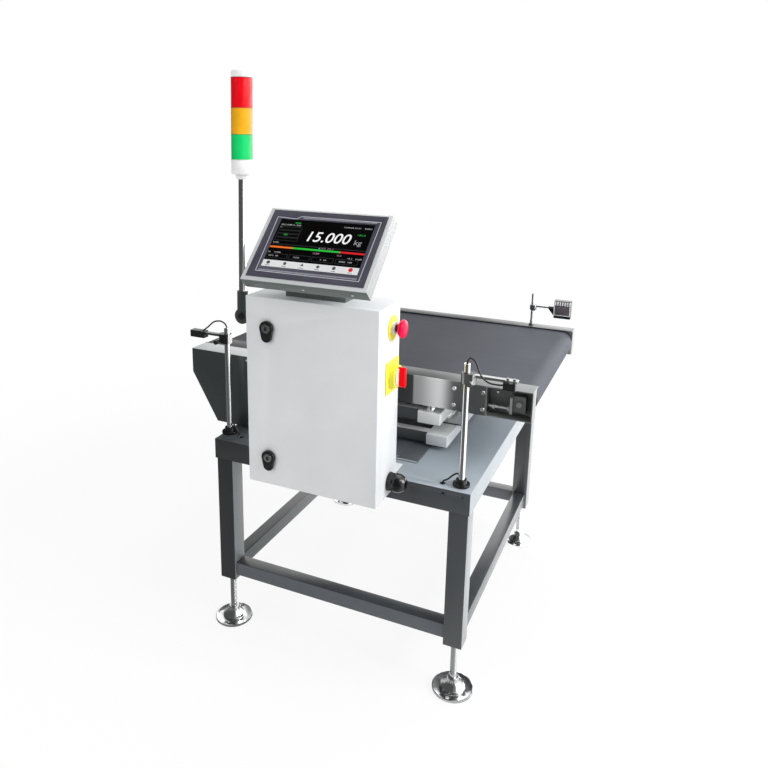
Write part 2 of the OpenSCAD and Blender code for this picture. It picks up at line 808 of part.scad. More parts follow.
module gear_motor() {
    y0 = -guard_back - motor_plate_t;
    color([0.30, 0.31, 0.33]) placed() {
        difference() {
            plate_y(y0, -guard_back) guard_outline(0);
            rod_y(motor_boss_d + 2 * gap, motor_x, y0 - cut, -guard_back + cut, motor_z);
            rod_y(journal_d + 2 * shaft_clear, drive_x, y0 - cut, -guard_back + cut, roller_z);
        }
        for (p = [[drive_x + motor_run * 0.5, roller_z + belt_r * 0.4],
                  [guard_right - motor_run * 0.2, roller_z + belt_r * 0.4],
                  [guard_right - motor_run * 0.2, side_low + motor_plate_t * 3]])
            rod_y(motor_shaft_d, p[0], -guard_back, near_y, p[1]);
        difference() {
            union() {
                rod_y(motor_d, motor_x, -guard_back, -guard_back + motor_l, motor_z);
                rod_y(motor_boss_d, motor_x, y0, -guard_back, motor_z);
                rod_y(motor_d * 0.82, motor_x, -guard_back + motor_l, -guard_back + motor_l * 1.12, motor_z);
            }
            rod_y(motor_shaft_d + 2 * fit, motor_x, y0 - cut, -guard_back + motor_l / 3 + cut, motor_z);
        }
    }
}

module motor_pulley() {
    color([0.70, 0.71, 0.73]) placed() union() {
        timing_pulley(motor_x, motor_z);
        rod_y(motor_shaft_d, motor_x, pulley_y - pulley_rim, -guard_back + motor_l / 3, motor_z);
    }
}

module timing_belt() {
    a = [drive_x, roller_z];
    b = [motor_x, motor_z];
    color([0.09, 0.09, 0.10]) placed() plate_y(pulley_y + pulley_rim, pulley_y + pulley_w - pulley_rim)
        difference() {
            capsule(a, b, pulley_r + gap + timing_t);
            capsule(a, b, pulley_r + gap);
        }
}

// Cabinet: body, door, seal, locks and bracket

rim_w = 22;
lip_in = 9;
lip_d = 10;
stop_hole_d = 22;
switch_hole_d = 34;
gland_hole_d = 32;
tower_hole_d = 8;
seal_w = 10;

module side_hole(d, z) {
    rod_x(d + 2 * fit, cabinet_right - cut, cabinet_right + cut, control_y, z);
}

module cabinet_shell() {
    color([0.93, 0.94, 0.94]) placed() difference() {
        union() {
            difference() {
                block(cabinet_left, cabinet_right, joint_y, cabinet_back, cabinet_low, cabinet_top);
                block(cabinet_left + sheet_t, cabinet_right - sheet_t, joint_y + sheet_t,
                      cabinet_back - sheet_t, cabinet_low + sheet_t, cabinet_top - sheet_t);
            }
            block(cabinet_left + lip_in, cabinet_right - lip_in, joint_y - lip_d, joint_y + sheet_t / 2,
                  cabinet_low + lip_in, cabinet_top - lip_in);
        }
        block(cabinet_left + lip_in + sheet_t, cabinet_right - lip_in - sheet_t, joint_y - lip_d - cut,
              joint_y, cabinet_low + lip_in + sheet_t, cabinet_top - lip_in - sheet_t);
        block(cabinet_left + rim_w, cabinet_right - rim_w, joint_y - cut, joint_y + sheet_t + cut,
              cabinet_low + rim_w, cabinet_top - rim_w);
        side_hole(stop_hole_d, cabinet_top - stop_drop);
        side_hole(switch_hole_d, cabinet_top - switch_drop);
        side_hole(gland_hole_d, cabinet_low + gland_up);
    }
}

module cabinet_door() {
    y1 = joint_y - gap;
    color([0.84, 0.86, 0.87]) placed() difference() {
        block(cabinet_left, cabinet_right, door_y, y1, cabinet_low, cabinet_top);
        block(cabinet_left + sheet_t, cabinet_right - sheet_t, door_y + sheet_t, y1 + cut,
              cabinet_low + sheet_t, cabinet_top - sheet_t);
        for (z = [lock_top_z, lock_low_z]) rod_y(lock_d + 2 * fit, lock_x, door_y - cut, door_y + cut, z);
    }
}

module door_gasket() {
    color([0.12, 0.12, 0.12]) placed() plate_y(door_y + sheet_t, joint_y - lip_d - gap)
        translate([cabinet_x, cabinet_low + cabinet_h / 2]) difference() {
            w = cabinet_w - 2 * lip_in;
            h = cabinet_h - 2 * lip_in;
            square([w + seal_w * 0.6, h + seal_w * 0.6], center = true);
            square([w - seal_w * 1.4, h - seal_w * 1.4], center = true);
        }
}

lock_d = 20;
lock_body_r = 16.5;
lock_tail_r = 12.5;
lock_tail_drop = 19;
lock_out = 8;
lock_proud = 1;
cam_l = 43;
cam_w = 14;
cam_t = 3;

module lock_housings() {
    color([0.05, 0.05, 0.05]) placed() for (z = [lock_top_z, lock_low_z])
        difference() {
            plate_y(door_y - lock_out, door_y) translate([lock_x, z]) {
                circle(r = lock_body_r);
                translate([0, -lock_tail_drop]) circle(r = lock_tail_r);
                polygon([[-lock_body_r, 0], [lock_body_r, 0], [lock_tail_r, -lock_tail_drop],
                         [-lock_tail_r, -lock_tail_drop]]);
            }
            rod_y(lock_d + 2 * fit, lock_x, door_y - lock_out - cut, door_y + cut, z);
        }
}

module lock_turn(z) {
    back = joint_y + 2 * sheet_t + gap;
    color([0.66, 0.67, 0.68]) placed() union() {
        difference() {
            rod_y(lock_d, lock_x, door_y - lock_out - lock_proud, back + cam_t, z);
            rod_y(lock_d * 0.4, lock_x, door_y - lock_out - cut, door_y - lock_out / 2, z);
        }
        block(lock_x - cam_l, lock_x, back, back + cam_t, z - cam_w / 2, z + cam_w / 2);
    }
}
module lock_upper() { lock_turn(lock_top_z); }
module lock_lower() { lock_turn(lock_low_z); }

bracket_half_w = 148;
bracket_t = 4;
bracket_l = 68;
bracket_rise = 120;

module cabinet_bracket() {
    color([0.88, 0.89, 0.90]) placed() union() {
        block(cabinet_x - bracket_half_w, cabinet_x + bracket_half_w, cabinet_back, cabinet_back + bracket_l,
              table_h, table_h + bracket_t);
        block(cabinet_x - bracket_half_w, cabinet_x + bracket_half_w, cabinet_back,
              cabinet_back + bracket_t, table_h, table_h + bracket_rise);
    }
}

// Inside the cabinet: mounting plate with its rails, and the devices on them

inner_plate_t = 2;
inner_plate_in = 24;
standoff_l = 8;
standoff_d = 10;
rail_w = 35;
rail_d = 7.5;
device_d = 52;
plate_face = cabinet_back - sheet_t - standoff_l - inner_plate_t;
device_row_shares = [0.68, 0.3];

module gear_plate() {
    x0 = cabinet_left + inner_plate_in;
    x1 = cabinet_right - inner_plate_in;
    z0 = cabinet_low + inner_plate_in;
    z1 = cabinet_top - inner_plate_in;
    color([0.80, 0.81, 0.80]) placed() union() {
        block(x0, x1, plate_face, plate_face + inner_plate_t, z0, z1);
        for (x = [x0 + standoff_d, x1 - standoff_d], z = [z0 + standoff_d, z1 - standoff_d])
            rod_y(standoff_d, x, plate_face + inner_plate_t, cabinet_back - sheet_t, z);
        for (s = device_row_shares) block(x0 + standoff_d, x1 - standoff_d, plate_face - rail_d, plate_face,
            cabinet_low + s * cabinet_h - rail_w / 2, cabinet_low + s * cabinet_h + rail_w / 2);
    }
}

supply_w = 60;
driver_w = 72;
device_h = 110;
terminal_w = 6;
terminal_h = 44;
terminals = 16;
breaker_w = 18;

module cabinet_devices() {
    y1 = plate_face - rail_d;
    x0 = cabinet_left + inner_plate_in + 2 * standoff_d;
    z_top = cabinet_low + device_row_shares[0] * cabinet_h;
    z_low = cabinet_low + device_row_shares[1] * cabinet_h;
    color([0.22, 0.23, 0.25]) placed() {
        block(x0, x0 + supply_w, y1 - device_d, y1, z_top - device_h / 2, z_top + device_h / 2);
        block(x0 + supply_w + breaker_w, x0 + supply_w + breaker_w + driver_w, y1 - device_d, y1,
              z_top - device_h / 2, z_top + device_h / 2);
        for (k = [0 : 1]) block(x0 + k * (breaker_w + gap), x0 + k * (breaker_w + gap) + breaker_w,
            y1 - device_d, y1, z_low - device_h * 0.35, z_low + device_h * 0.35);
        for (k = [0 : terminals - 1]) {
            x = x0 + 3 * breaker_w + k * (terminal_w + gap);
            block(x, x + terminal_w, y1 - device_d * 0.7, y1, z_low - terminal_h / 2,
                  z_low + terminal_h / 2);
        }
    }
}

gland_d = 42;
gland_af = 39;
gland_out = 40;
gland_bore = 14;

module cable_gland() {
    x = cabinet_right;
    color([0.04, 0.05, 0.05]) placed() translate([x, control_y, cabinet_low + gland_up]) rotate([0, 90, 0])
        difference() {
            union() {
                cylinder(h = gland_out * 0.1, d = gland_d);
                translate([0, 0, gland_out * 0.1])
                    cylinder(h = gland_out * 0.22, d = gland_af * hex_share, $fn = 6);
                translate([0, 0, gland_out * 0.32]) rotate_extrude() polygon([
                    [0, 0], [gland_d * 0.47, 0], [gland_d * 0.5, gland_out * 0.06],
                    [gland_d * 0.5, gland_out * 0.3], [gland_d * 0.46, gland_out * 0.44],
                    [gland_d * 0.37, gland_out * 0.58], [gland_d * 0.26, gland_out * 0.68],
                    [0, gland_out * 0.68]
                ]);
                translate([0, 0, -gland_out * 0.36]) cylinder(h = gland_out * 0.37, d = gland_hole_d);
                translate([0, 0, -sheet_t - gland_out * 0.16])
                    cylinder(h = gland_out * 0.16, d = gland_af * hex_share, $fn = 6);
            }
            translate([0, 0, -gland_out]) cylinder(h = 3 * gland_out, d = gland_bore);
        }
}

// Main switch and emergency stop on the cabinet's right side

switch_w = 70;
switch_h = 72;
switch_t = 2.4;
switch_boss_d = 50;
switch_boss_h = 13;
switch_shaft_d = 9;
switch_body = 40;
handle_h = 44;
handle_w = 13;
handle_out = 16;

module switch_plate() {
    color([0.93, 0.90, 0.10]) placed() translate([cabinet_right, control_y, cabinet_top - switch_drop])
        rotate([0, 90, 0]) difference() {
            union() {
                linear_extrude(height = switch_t) round_rect(switch_h, switch_w, switch_t * 2);
                cylinder(h = switch_t + switch_boss_h, d = switch_boss_d);
                translate([0, 0, -switch_t]) cylinder(h = 2 * switch_t, d = switch_hole_d);
                translate([-switch_body / 2, -switch_body / 2, -switch_body])
                    cube([switch_body, switch_body, switch_body - sheet_t - gap]);
            }
            translate([0, 0, -switch_body / 2]) cylinder(h = 2 * switch_body, d = switch_shaft_d + 2 * fit);
        }
}

module switch_handle() {
    z0 = switch_t + switch_boss_h + gap;
    color([0.90, 0.05, 0.08]) placed() translate([cabinet_right, control_y, cabinet_top - switch_drop])
        rotate([0, 90, 0]) union() {
            translate([0, 0, z0]) cylinder(h = handle_out * 0.2, d = handle_h * 0.92);
            translate([0, 0, z0]) linear_extrude(height = handle_out)
                capsule([-(handle_h - handle_w) / 2, 0], [(handle_h - handle_w) / 2, 0], handle_w / 2);
            translate([0, 0, -switch_body / 2 + gap]) cylinder(h = z0 + switch_body / 2, d = switch_shaft_d);
        }
}

stop_disc_d = 54.5;
stop_disc_t = 2;
stop_collar_d = 27;
stop_collar_h = 6.5;
stop_stem_d = 15;
stop_neck_h = 5.5;
stop_cap_h = 17.3;
stop_block = 30;
stop_block_l = 44;

module stop_base() {
    color([0.93, 0.90, 0.10]) placed() translate([cabinet_right, control_y, cabinet_top - stop_drop])
        rotate([0, 90, 0]) difference() {
            union() {
                cylinder(h = stop_disc_t, d = stop_disc_d);
                cylinder(h = stop_disc_t + stop_collar_h, d = stop_collar_d);
                translate([0, 0, -stop_block_l * 0.3]) cylinder(h = stop_block_l * 0.4, d = stop_hole_d);
                translate([-stop_block / 2, -stop_block / 2, -stop_block_l])
                    cube([stop_block, stop_block, stop_block_l * 0.75]);
            }
            translate([0, 0, -stop_block_l * 0.5]) cylinder(h = 2 * stop_block_l, d = stop_stem_d + 2 * fit);
        }
}

module stop_button() {
    z0 = stop_disc_t + stop_collar_h + stop_neck_h;
    r = mushroom_d / 2;
    color([0.85, 0.04, 0.20]) placed() translate([cabinet_right, control_y, cabinet_top - stop_drop])
        rotate([0, 90, 0]) union() {
            translate([0, 0, z0]) rotate_extrude($fn = 72) polygon([
                [0, 0], [r * 0.55, 0], [r * 0.8, stop_cap_h * 0.14], [r * 0.97, stop_cap_h * 0.34],
                [r, stop_cap_h * 0.5], [r * 0.97, stop_cap_h * 0.66], [r * 0.85, stop_cap_h * 0.83],
                [r * 0.62, stop_cap_h * 0.95], [r * 0.3, stop_cap_h], [0, stop_cap_h]
            ]);
            translate([0, 0, -stop_block_l * 0.5 + stop_travel + gap])
                cylinder(h = z0 + stop_block_l * 0.5 - stop_travel + gap, d = stop_stem_d);
        }
}

// Display: neck, housing, front panel and screen, built upright and leaned back

neck_w = 143.5;
neck_l = 60;
neck_in = 16.1;
neck_front = -joint_y - neck_in;
neck_shift = 6.2;
neck_x = cabinet_x - neck_shift;
neck_t = 2;
bezel_t = 1.2;
bezel_w = display_w - 2 * bezel_side;
bezel_h = display_h - bezel_rise - bezel_top;
screen_share = 0.5416;
screen_rise = bezel_rise + (bezel_h - screen_h) * screen_share;
screen_shift = 1.7;
screen_body = 6;
housing_t = 2;

module display_place() {
    translate([cabinet_x, -display_front, display_low]) rotate([-display_tilt, 0, 0]) children();
}

// Height of the housing's back plane above a point at distance y in front of the stand's middle
function back_z(y) = display_low - display_d * sin(display_tilt)
    + (display_front - display_d * cos(display_tilt) - y) / tan(display_tilt);

module neck_side(inset) {
    yf = neck_front - inset;
    yb = neck_front - neck_l + inset;
    rotate([90, 0, 90]) linear_extrude(height = neck_w - 2 * inset) polygon([
        [-yf, cabinet_top - (inset > 0 ? cut : 0)], [-yf, back_z(yf) - gap + (inset > 0 ? cut : 0)],
        [-yb, back_z(yb) - gap + (inset > 0 ? cut : 0)], [-yb, cabinet_top - (inset > 0 ? cut : 0)]
    ]);
}

module display_neck() {
    color([0.55, 0.57, 0.55]) placed() difference() {
        translate([neck_x - neck_w / 2, 0, 0]) neck_side(0);
        translate([neck_x - neck_w / 2 + neck_t, 0, 0]) neck_side(neck_t);
    }
}

module display_housing() {
    w = display_w / 2;
    color([0.80, 0.81, 0.81]) placed() display_place() difference() {
        block(-w, w, 0, display_d, 0, display_h);
        block(-w + housing_t, w - housing_t, housing_t, display_d - housing_t, housing_t,
              display_h - housing_t);
        block(-bezel_w / 2 + screen_body, bezel_w / 2 - screen_body, -cut, housing_t + cut,
              bezel_rise + screen_body, bezel_rise + bezel_h - screen_body);
    }
}

module display_bezel() {
    color([0.29, 0.28, 0.34]) placed() display_place() difference() {
        block(-bezel_w / 2, bezel_w / 2, -bezel_t, 0, bezel_rise, bezel_rise + bezel_h);
        block(screen_shift - screen_w / 2 - gap, screen_shift + screen_w / 2 + gap, -bezel_t - cut, cut,
              screen_rise - gap, screen_rise + screen_h + gap);
    }
}

module touch_screen() {
    rim = bezel_rise + 2 * screen_body;
    color([0.04, 0.04, 0.05]) placed() display_place() union() {
        block(screen_shift - screen_w / 2, screen_shift + screen_w / 2, -bezel_t / 2, gap,
              screen_rise, screen_rise + screen_h);
        block(-bezel_w / 2 + screen_body + gap, bezel_w / 2 - screen_body - gap, 0, housing_t + gap,
              bezel_rise + screen_body + gap, bezel_rise + bezel_h - screen_body - gap);
        block(-display_w / 2 + rim, display_w / 2 - rim, housing_t + gap / 2, display_d - housing_t - gap,
              rim, display_h - rim);
    }
}

// Signal tower: fold joint on the cabinet's side, pole, base, lenses and cap

disc_d = 36;
disc_t = 10;
pin_d = 8;
pin_head_d = 14;
sleeve_d = 24;
sleeve_l = 40;
lens_t = 2.2;
core_d = 14;
collar_h = 10;
collar_d = 26;

module tower_bracket() {
    color([0.42, 0.44, 0.44]) placed() {
        difference() {
            union() {
                rod_y(disc_d, tower_x, tower_y + gap / 2, tower_y + disc_t, fold_h);
                block(tower_x, cabinet_left, tower_y + gap / 2, tower_y + disc_t, fold_h - disc_d / 2,
                      fold_h);
                block(cabinet_left - bracket_t, cabinet_left, tower_y + gap / 2, tower_y + 3.5 * disc_t,
                      fold_h - disc_d, fold_h + disc_d / 2);
            }
            rod_y(pin_d, tower_x, tower_y - cut, tower_y + disc_t + cut, fold_h);
        }
        rod_y(pin_d, tower_x, tower_y - disc_t - gap, tower_y + disc_t, fold_h);
        rod_y(pin_head_d, tower_x, tower_y - disc_t - bracket_t, tower_y - disc_t - gap, fold_h);
    }
}

module tower_pole() {
    y = tower_y - disc_t / 2;
    color([0.74, 0.75, 0.77]) leaning() difference() {
        union() {
            rod_y(disc_d, tower_x, tower_y - disc_t, tower_y - gap / 2, fold_h);
            rod_z(sleeve_d, tower_x, y, fold_h + disc_d * 0.35, fold_h + disc_d / 2 + sleeve_l);
            rod_z(pole_d, tower_x, y, fold_h + disc_d / 2, lamp_z);
        }
        rod_y(pin_d + 2 * fit, tower_x, tower_y - disc_t - cut, tower_y + cut, fold_h);
        block(tower_x - sleeve_d, tower_x + sleeve_d, tower_y - gap / 2, tower_y + sleeve_d, fold_h,
              fold_h + disc_d / 2 + sleeve_l + cut);
    }
}

function lamp_level(k) = lamp_z + collar_h + lamp_base_h
    + (k > 0 ? green_h : 0) + (k > 1 ? amber_h : 0) + (k > 2 ? red_h : 0);

module leaning() {
    placed() translate([tower_x, 0, fold_h]) rotate([0, tower_lean, 0])
        translate([-tower_x, 0, -fold_h]) children();
}

module at_tower(z) {
    leaning() translate([tower_x, tower_y - disc_t / 2, z]) children();
}

module lamp_base() {
    color([0.95, 0.95, 0.95]) at_tower(lamp_z) union() {
        cylinder(h = collar_h, d1 = collar_d, d2 = collar_d * 1.1);
        translate([0, 0, collar_h]) cylinder(h = lamp_base_h, d = lamp_d);
        translate([0, 0, collar_h]) cylinder(h = lamp_level(3) - lamp_z - collar_h, d = core_d);
    }
}

module lens(h) {
    difference() {
        cylinder(h = h, d = lamp_d, $fn = 64);
        translate([0, 0, -cut]) cylinder(h = h + 2 * cut, d = lamp_d - 2 * lens_t, $fn = 64);
    }
}
module lamp_green() { color([0.05, 0.65, 0.20]) at_tower(lamp_level(0)) lens(green_h); }
module lamp_amber() { color([0.98, 0.62, 0.05]) at_tower(lamp_level(1)) lens(amber_h); }
module lamp_red() { color([0.85, 0.08, 0.12]) at_tower(lamp_level(2)) lens(red_h); }
module lamp_cap() {
    r = lamp_d / 2;
    color([0.95, 0.95, 0.95]) at_tower(lamp_level(3)) rotate_extrude($fn = 64) polygon([
        [0, 0], [r, 0], [r, cap_h * 0.6], [r * 0.96, cap_h * 0.8], [r * 0.84, cap_h * 0.95],
        [r * 0.7, cap_h], [0, cap_h]
    ]);
}

// Sensors: posts, clamps, arms, heads and their leads

flange_d = 39;
far_base_d = 2 * far_post_d;
flange_h = 10;
post_wall = 2;
clamp_h = 24;
clamp_w = 24;
arm_w = 12;
arm_t = 6;
head_w = 18;
head_h = 16;
lead_d = 4;
clamp_rise_share = 0.28;
far_clamp_h = 15;
far_clamp_wall = 4;
far_clamp_w = far_post_d + 2 * far_clamp_wall;
far_arm_w = 6;
far_arm_t = 4;

module post(x, y, z, l, d, base_d) {
    difference() {
        union() {
            rod_z(d, x, y, z, z + l);
            rod_z(base_d, x, y, z, z + flange_h * 0.6);
            rod_z(base_d * 0.62, x, y, z, z + flange_h * 1.6);
        }
        rod_z(d - 2 * post_wall, x, y, z + flange_h, z + l + cut);
    }
}

module post_right() {
    color([0.80, 0.81, 0.82]) placed() post(right_post[0], right_post[1], table_h, post_right_l,
        post_d, flange_d);
}
module post_left() {
    color([0.80, 0.81, 0.82]) placed() post(left_post[0], left_post[1], table_h, post_left_l,
        post_d, flange_d);
}
module post_far() {
    color([0.60, 0.61, 0.62]) placed() post(far_post_x, far_post_y, conveyor_h, post_far_l,
        far_post_d, far_base_d);
}

// Clamp of height h and width w round a post of diameter d at the origin, with an arm at
// height z along +X to reach
module clamp_arm(reach, arm_z, d, w, h, wide, thick) {
    z = arm_z - h * clamp_rise_share;
    difference() {
        union() {
            translate([0, 0, z - h / 2]) linear_extrude(height = h)
                capsule([0, 0], [w * 0.4, 0], w / 2);
            block(w * 0.5, reach, -wide / 2, wide / 2, arm_z - thick / 2, arm_z + thick / 2);
            rod_y(thick, w * 0.6, -w, w * 0.5, z - h * 0.2);
            rod_y(w * 0.5, w * 0.6, -w - thick, -w, z - h * 0.2);
        }
        rod_z(d + 2 * fit, 0, 0, z - h, z + h);
    }
}

head_l = 30;
tab_over = 4;
tab_t = 3;

module sensor_right() {
    arm_z = table_h + post_right_l - arm_right_drop;
    z = arm_z - arm_t / 2;
    color([0.30, 0.31, 0.32]) placed() translate([right_post[0], right_post[1], 0]) {
        clamp_arm(arm_right_l, arm_z, post_d, clamp_w, clamp_h, arm_w, arm_t);
        block(arm_right_l, arm_right_l + head_l - tab_over, -head_w / 2, head_w / 2, z + arm_t - tab_t,
              z + arm_t);
        block(arm_right_l - tab_over, arm_right_l + head_l - 2 * tab_over, -head_w / 2, head_w / 2,
              z - head_h, z - gap);
        for (x = [arm_right_l + tab_over, arm_right_l + head_l - 3 * tab_over])
            rod_z(arm_t, x, 0, z - gap, z + arm_t + tab_t);
        translate([0, 0, table_h + post_right_l]) lead(right_head_lead, lead_d);
    }
}

module sensor_left() {
    arm_z = table_h + post_left_l - arm_left_drop;
    z = arm_z - arm_t / 2;
    l = arm_left_l;
    color([0.16, 0.17, 0.18]) placed() translate([left_post[0], left_post[1], 0]) mirror([1, 0, 0]) {
        clamp_arm(l, arm_z, post_d, clamp_w, clamp_h, arm_w, arm_t);
        block(l, l + head_l + 2 * arm_t, -head_w / 2, head_w / 2, z - head_h * 0.6, z + head_h * 0.5);
        translate([0, 0, table_h + post_left_l]) lead(left_head_lead, lead_d);
    }
}

reflector_t = 22;
reflector_up = 61;
reflector_high = 26;
reflector_low = 28;
reflector_hood = 14;
reflector_foot = 10;
bracket_reach = 18;
bracket_t_far = 5;
bracket_drop_share = 0.9;

// Hood with ribs above the reflector's window, a tapered bracket beside it
module reflector() {
    z = conveyor_h + reflector_up;
    x1 = arm_far_l + reflector_side;
    top = z + reflector_high;
    low = z - reflector_low;
    color([0.12, 0.12, 0.13]) placed() translate([far_post_x, far_post_y, 0]) {
        clamp_arm(arm_far_l, z, far_post_d, far_clamp_w, far_clamp_h, far_arm_w, far_arm_t);
        difference() {
            block(arm_far_l, x1, -arm_w, -arm_w + reflector_t, low, top);
            block(arm_far_l + tab_t, x1 - tab_t, -arm_w - cut, -arm_w + tab_t,
                  low + reflector_foot + tab_t, top - reflector_hood);
        }
        plate_y(-bracket_t_far / 2, bracket_t_far / 2) polygon([
            [arm_far_l - bracket_reach, z - far_arm_t], [arm_far_l - bracket_reach, z + far_arm_t],
            [arm_far_l, z + far_arm_t], [arm_far_l, z - reflector_low * bracket_drop_share]
        ]);
    }
}

module sensor_leads() {
    color([0.06, 0.06, 0.07]) placed() {
        translate([right_post[0], right_post[1], table_h]) lead(right_foot_lead, lead_d);
        translate([left_post[0], left_post[1], table_h]) lead(left_foot_lead, lead_d);
    }
}

// Fasteners: side cover bolts, web rivets, display screws, guard screws and bracket bolts

bolt_af = 10;
bolt_h = 5;
screw_d = 6;
screw_h = 1.6;
bolt_row_in = 77;
bolt_row_edge = 6.5;
bolt_up_shares = [0.22, 0.78];
rivet_in = 20;
rivet_drop = 23;
bracket_bolt_shares = [-0.4, 0.4];

module fasteners() {
    color([0.80, 0.81, 0.83]) placed() {
        for (s = [bolt_row_in, bolt_row_edge], u = bolt_up_shares) {
            hex_y(bolt_af, lug_x - s, near_y - bolt_h, near_y, conveyor_h - u * side_h);
            hex_y(bolt_af, guard_right + s, near_y - bolt_h, near_y, conveyor_h - u * side_h);
        }
        rod_y(screw_d, lug_x + rivet_in, near_web - screw_h, near_web, conveyor_h - rivet_drop);
        display_place() for (k = [-1, 0, 1])
            rod_z(screw_d, k * display_w * 0.38, display_d / 2, -screw_h, 0);
        for (s = bracket_bolt_shares)
            translate([cabinet_x + s * cabinet_w, cabinet_back + bracket_l / 2, table_h + bracket_t])
            cylinder(h = bolt_h, d = bolt_af * hex_share, $fn = 6);
        mirrored_x() rod_x(bolt_af, lower_beam_out + seat_over, lower_beam_out + seat_over + bolt_h,
                           beam_front + seat_in + seat_l / 2, lower_top + seat_t / 2 - screw_d / 2);
        for (z = [guard_z0 + bolt_af, guard_z1 - bolt_af])
            rod_y(screw_d, guard_right - bolt_af, -guard_front - screw_h, -guard_front, z);
    }
}

legs();
frame_rails();
table_cover();
leg_inserts();
foot_front_left();
foot_front_right();
foot_rear_left();
foot_rear_right();
scale_base_plate();
beam_pads();
lower_frame();
load_cells();
upper_frame();
support_studs();
conveyor_side_near();
conveyor_side_far();
belt_bed();
conveyor_belt();
drive_roller();
tail_roller();
side_cover();
take_up_blocks();
drive_bearings();
drive_guard();
gear_motor();
motor_pulley();
timing_belt();
cabinet_shell();
cabinet_door();
door_gasket();
lock_housings();
lock_upper();
lock_lower();
cabinet_bracket();
gear_plate();
cabinet_devices();
cable_gland();
switch_plate();
switch_handle();
stop_base();
stop_button();
display_neck();
display_housing();
display_bezel();
touch_screen();
tower_bracket();
tower_pole();
lamp_base();
lamp_green();
lamp_amber();
lamp_red();
lamp_cap();
post_right();
post_left();
post_far();
sensor_right();
sensor_left();
reflector();
sensor_leads();
fasteners();
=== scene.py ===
import json
import math

import bpy
from mathutils import Euler, Matrix, Vector


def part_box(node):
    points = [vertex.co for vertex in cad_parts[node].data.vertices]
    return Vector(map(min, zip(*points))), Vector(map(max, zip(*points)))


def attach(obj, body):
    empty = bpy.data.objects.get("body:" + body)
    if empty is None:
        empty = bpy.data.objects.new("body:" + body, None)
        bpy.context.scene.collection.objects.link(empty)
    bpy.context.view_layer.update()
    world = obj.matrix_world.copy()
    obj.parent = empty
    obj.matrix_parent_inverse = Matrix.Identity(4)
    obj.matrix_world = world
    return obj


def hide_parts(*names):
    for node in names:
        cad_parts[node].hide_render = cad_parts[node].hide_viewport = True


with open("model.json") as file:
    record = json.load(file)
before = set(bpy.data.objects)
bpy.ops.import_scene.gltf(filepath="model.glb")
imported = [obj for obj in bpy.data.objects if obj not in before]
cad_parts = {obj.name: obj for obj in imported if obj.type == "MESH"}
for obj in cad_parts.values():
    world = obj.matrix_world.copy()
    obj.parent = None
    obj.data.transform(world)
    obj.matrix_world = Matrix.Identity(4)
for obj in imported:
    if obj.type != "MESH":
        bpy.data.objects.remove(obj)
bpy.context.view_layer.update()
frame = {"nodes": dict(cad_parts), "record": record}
scene = bpy.context.scene

# Camera: it stands to the right of the machine's front at chest height and looks
# slightly down, at the same angle and distance as the photograph.
camera_place = Vector((0.724441, -1.720569, 1.285992))
camera_yaw = 0.4164
camera_pitch = 0.2286
camera_roll = 0.0164
ahead = Vector((-math.sin(camera_yaw) * math.cos(camera_pitch),
                math.cos(camera_yaw) * math.cos(camera_pitch), -math.sin(camera_pitch)))
level = Vector((math.cos(camera_yaw), math.sin(camera_yaw), 0))
upright = level.cross(ahead)
right = math.cos(camera_roll) * level + math.sin(camera_roll) * upright
up = math.cos(camera_roll) * upright - math.sin(camera_roll) * level
camera_data = bpy.data.cameras.new("photo_camera")
camera_data.sensor_width = 36
camera_data.lens = 33.498
camera_data.shift_x = 0.0231
camera_data.shift_y = -0.1097
camera_data.clip_end = 60
camera = bpy.data.objects.new("photo_camera", camera_data)
scene.collection.objects.link(camera)
turn = Matrix((right, up, -ahead)).transposed().to_4x4()
camera.matrix_world = Matrix.Translation(camera_place) @ turn
scene.camera = camera

# Stage: a plain white floor that keeps a soft shadow, and a white room. The lamps are
# large soft panels: one high on the right, one in front on the left and one overhead.
scene.view_settings.view_transform = "Standard"


def link_in(tree, kind, inputs=None, **settings):
    part = tree.nodes.new(kind)
    for key, value in settings.items():
        setattr(part, key, value)
    for key, value in (inputs or {}).items():
        if isinstance(value, bpy.types.NodeSocket):
            tree.links.new(value, part.inputs[key])
        else:
            part.inputs[key].default_value = value
    return part


world = bpy.data.worlds.new("white_room")
world.use_nodes = True
scene.world = world
tree = world.node_tree
tree.nodes.clear()
# Metal mirrors a room that is white behind and right, and dark in front on the left
toward = link_in(tree, "ShaderNodeTexCoord").outputs["Generated"]
behind = link_in(tree, "ShaderNodeVectorMath", {0: toward, 1: (-0.55, -0.78, 0.0)}, operation="DOT_PRODUCT")
room = link_in(tree, "ShaderNodeMapRange", {"Value": behind.outputs["Value"], "From Min": -0.75, "From Max": 0.3,
                                            "To Min": 2.3, "To Max": 0.1}, interpolation_type="SMOOTHSTEP")
path = link_in(tree, "ShaderNodeLightPath")
mirrored = link_in(tree, "ShaderNodeMath", {0: path.outputs["Is Glossy Ray"], 1: room.outputs[0]},
                   operation="MULTIPLY")
plain = link_in(tree, "ShaderNodeMath", {0: 1.0, 1: path.outputs["Is Glossy Ray"]}, operation="SUBTRACT")
plain = link_in(tree, "ShaderNodeMath", {0: plain.outputs[0], 1: 0.5}, operation="MULTIPLY")
seen = link_in(tree, "ShaderNodeMath", {0: path.outputs["Is Camera Ray"], 1: path.outputs["Is Transmission Ray"]},
               operation="MAXIMUM")
strength = link_in(tree, "ShaderNodeMath", {0: mirrored.outputs[0], 1: plain.outputs[0]}, operation="ADD")
strength = link_in(tree, "ShaderNodeMath", {0: strength.outputs[0], 1: seen.outputs[0]}, operation="MAXIMUM")
back = link_in(tree, "ShaderNodeBackground", {"Color": (1, 1, 1, 1), "Strength": strength.outputs[0]})
link_in(tree, "ShaderNodeOutputWorld", {"Surface": back.outputs[0]})

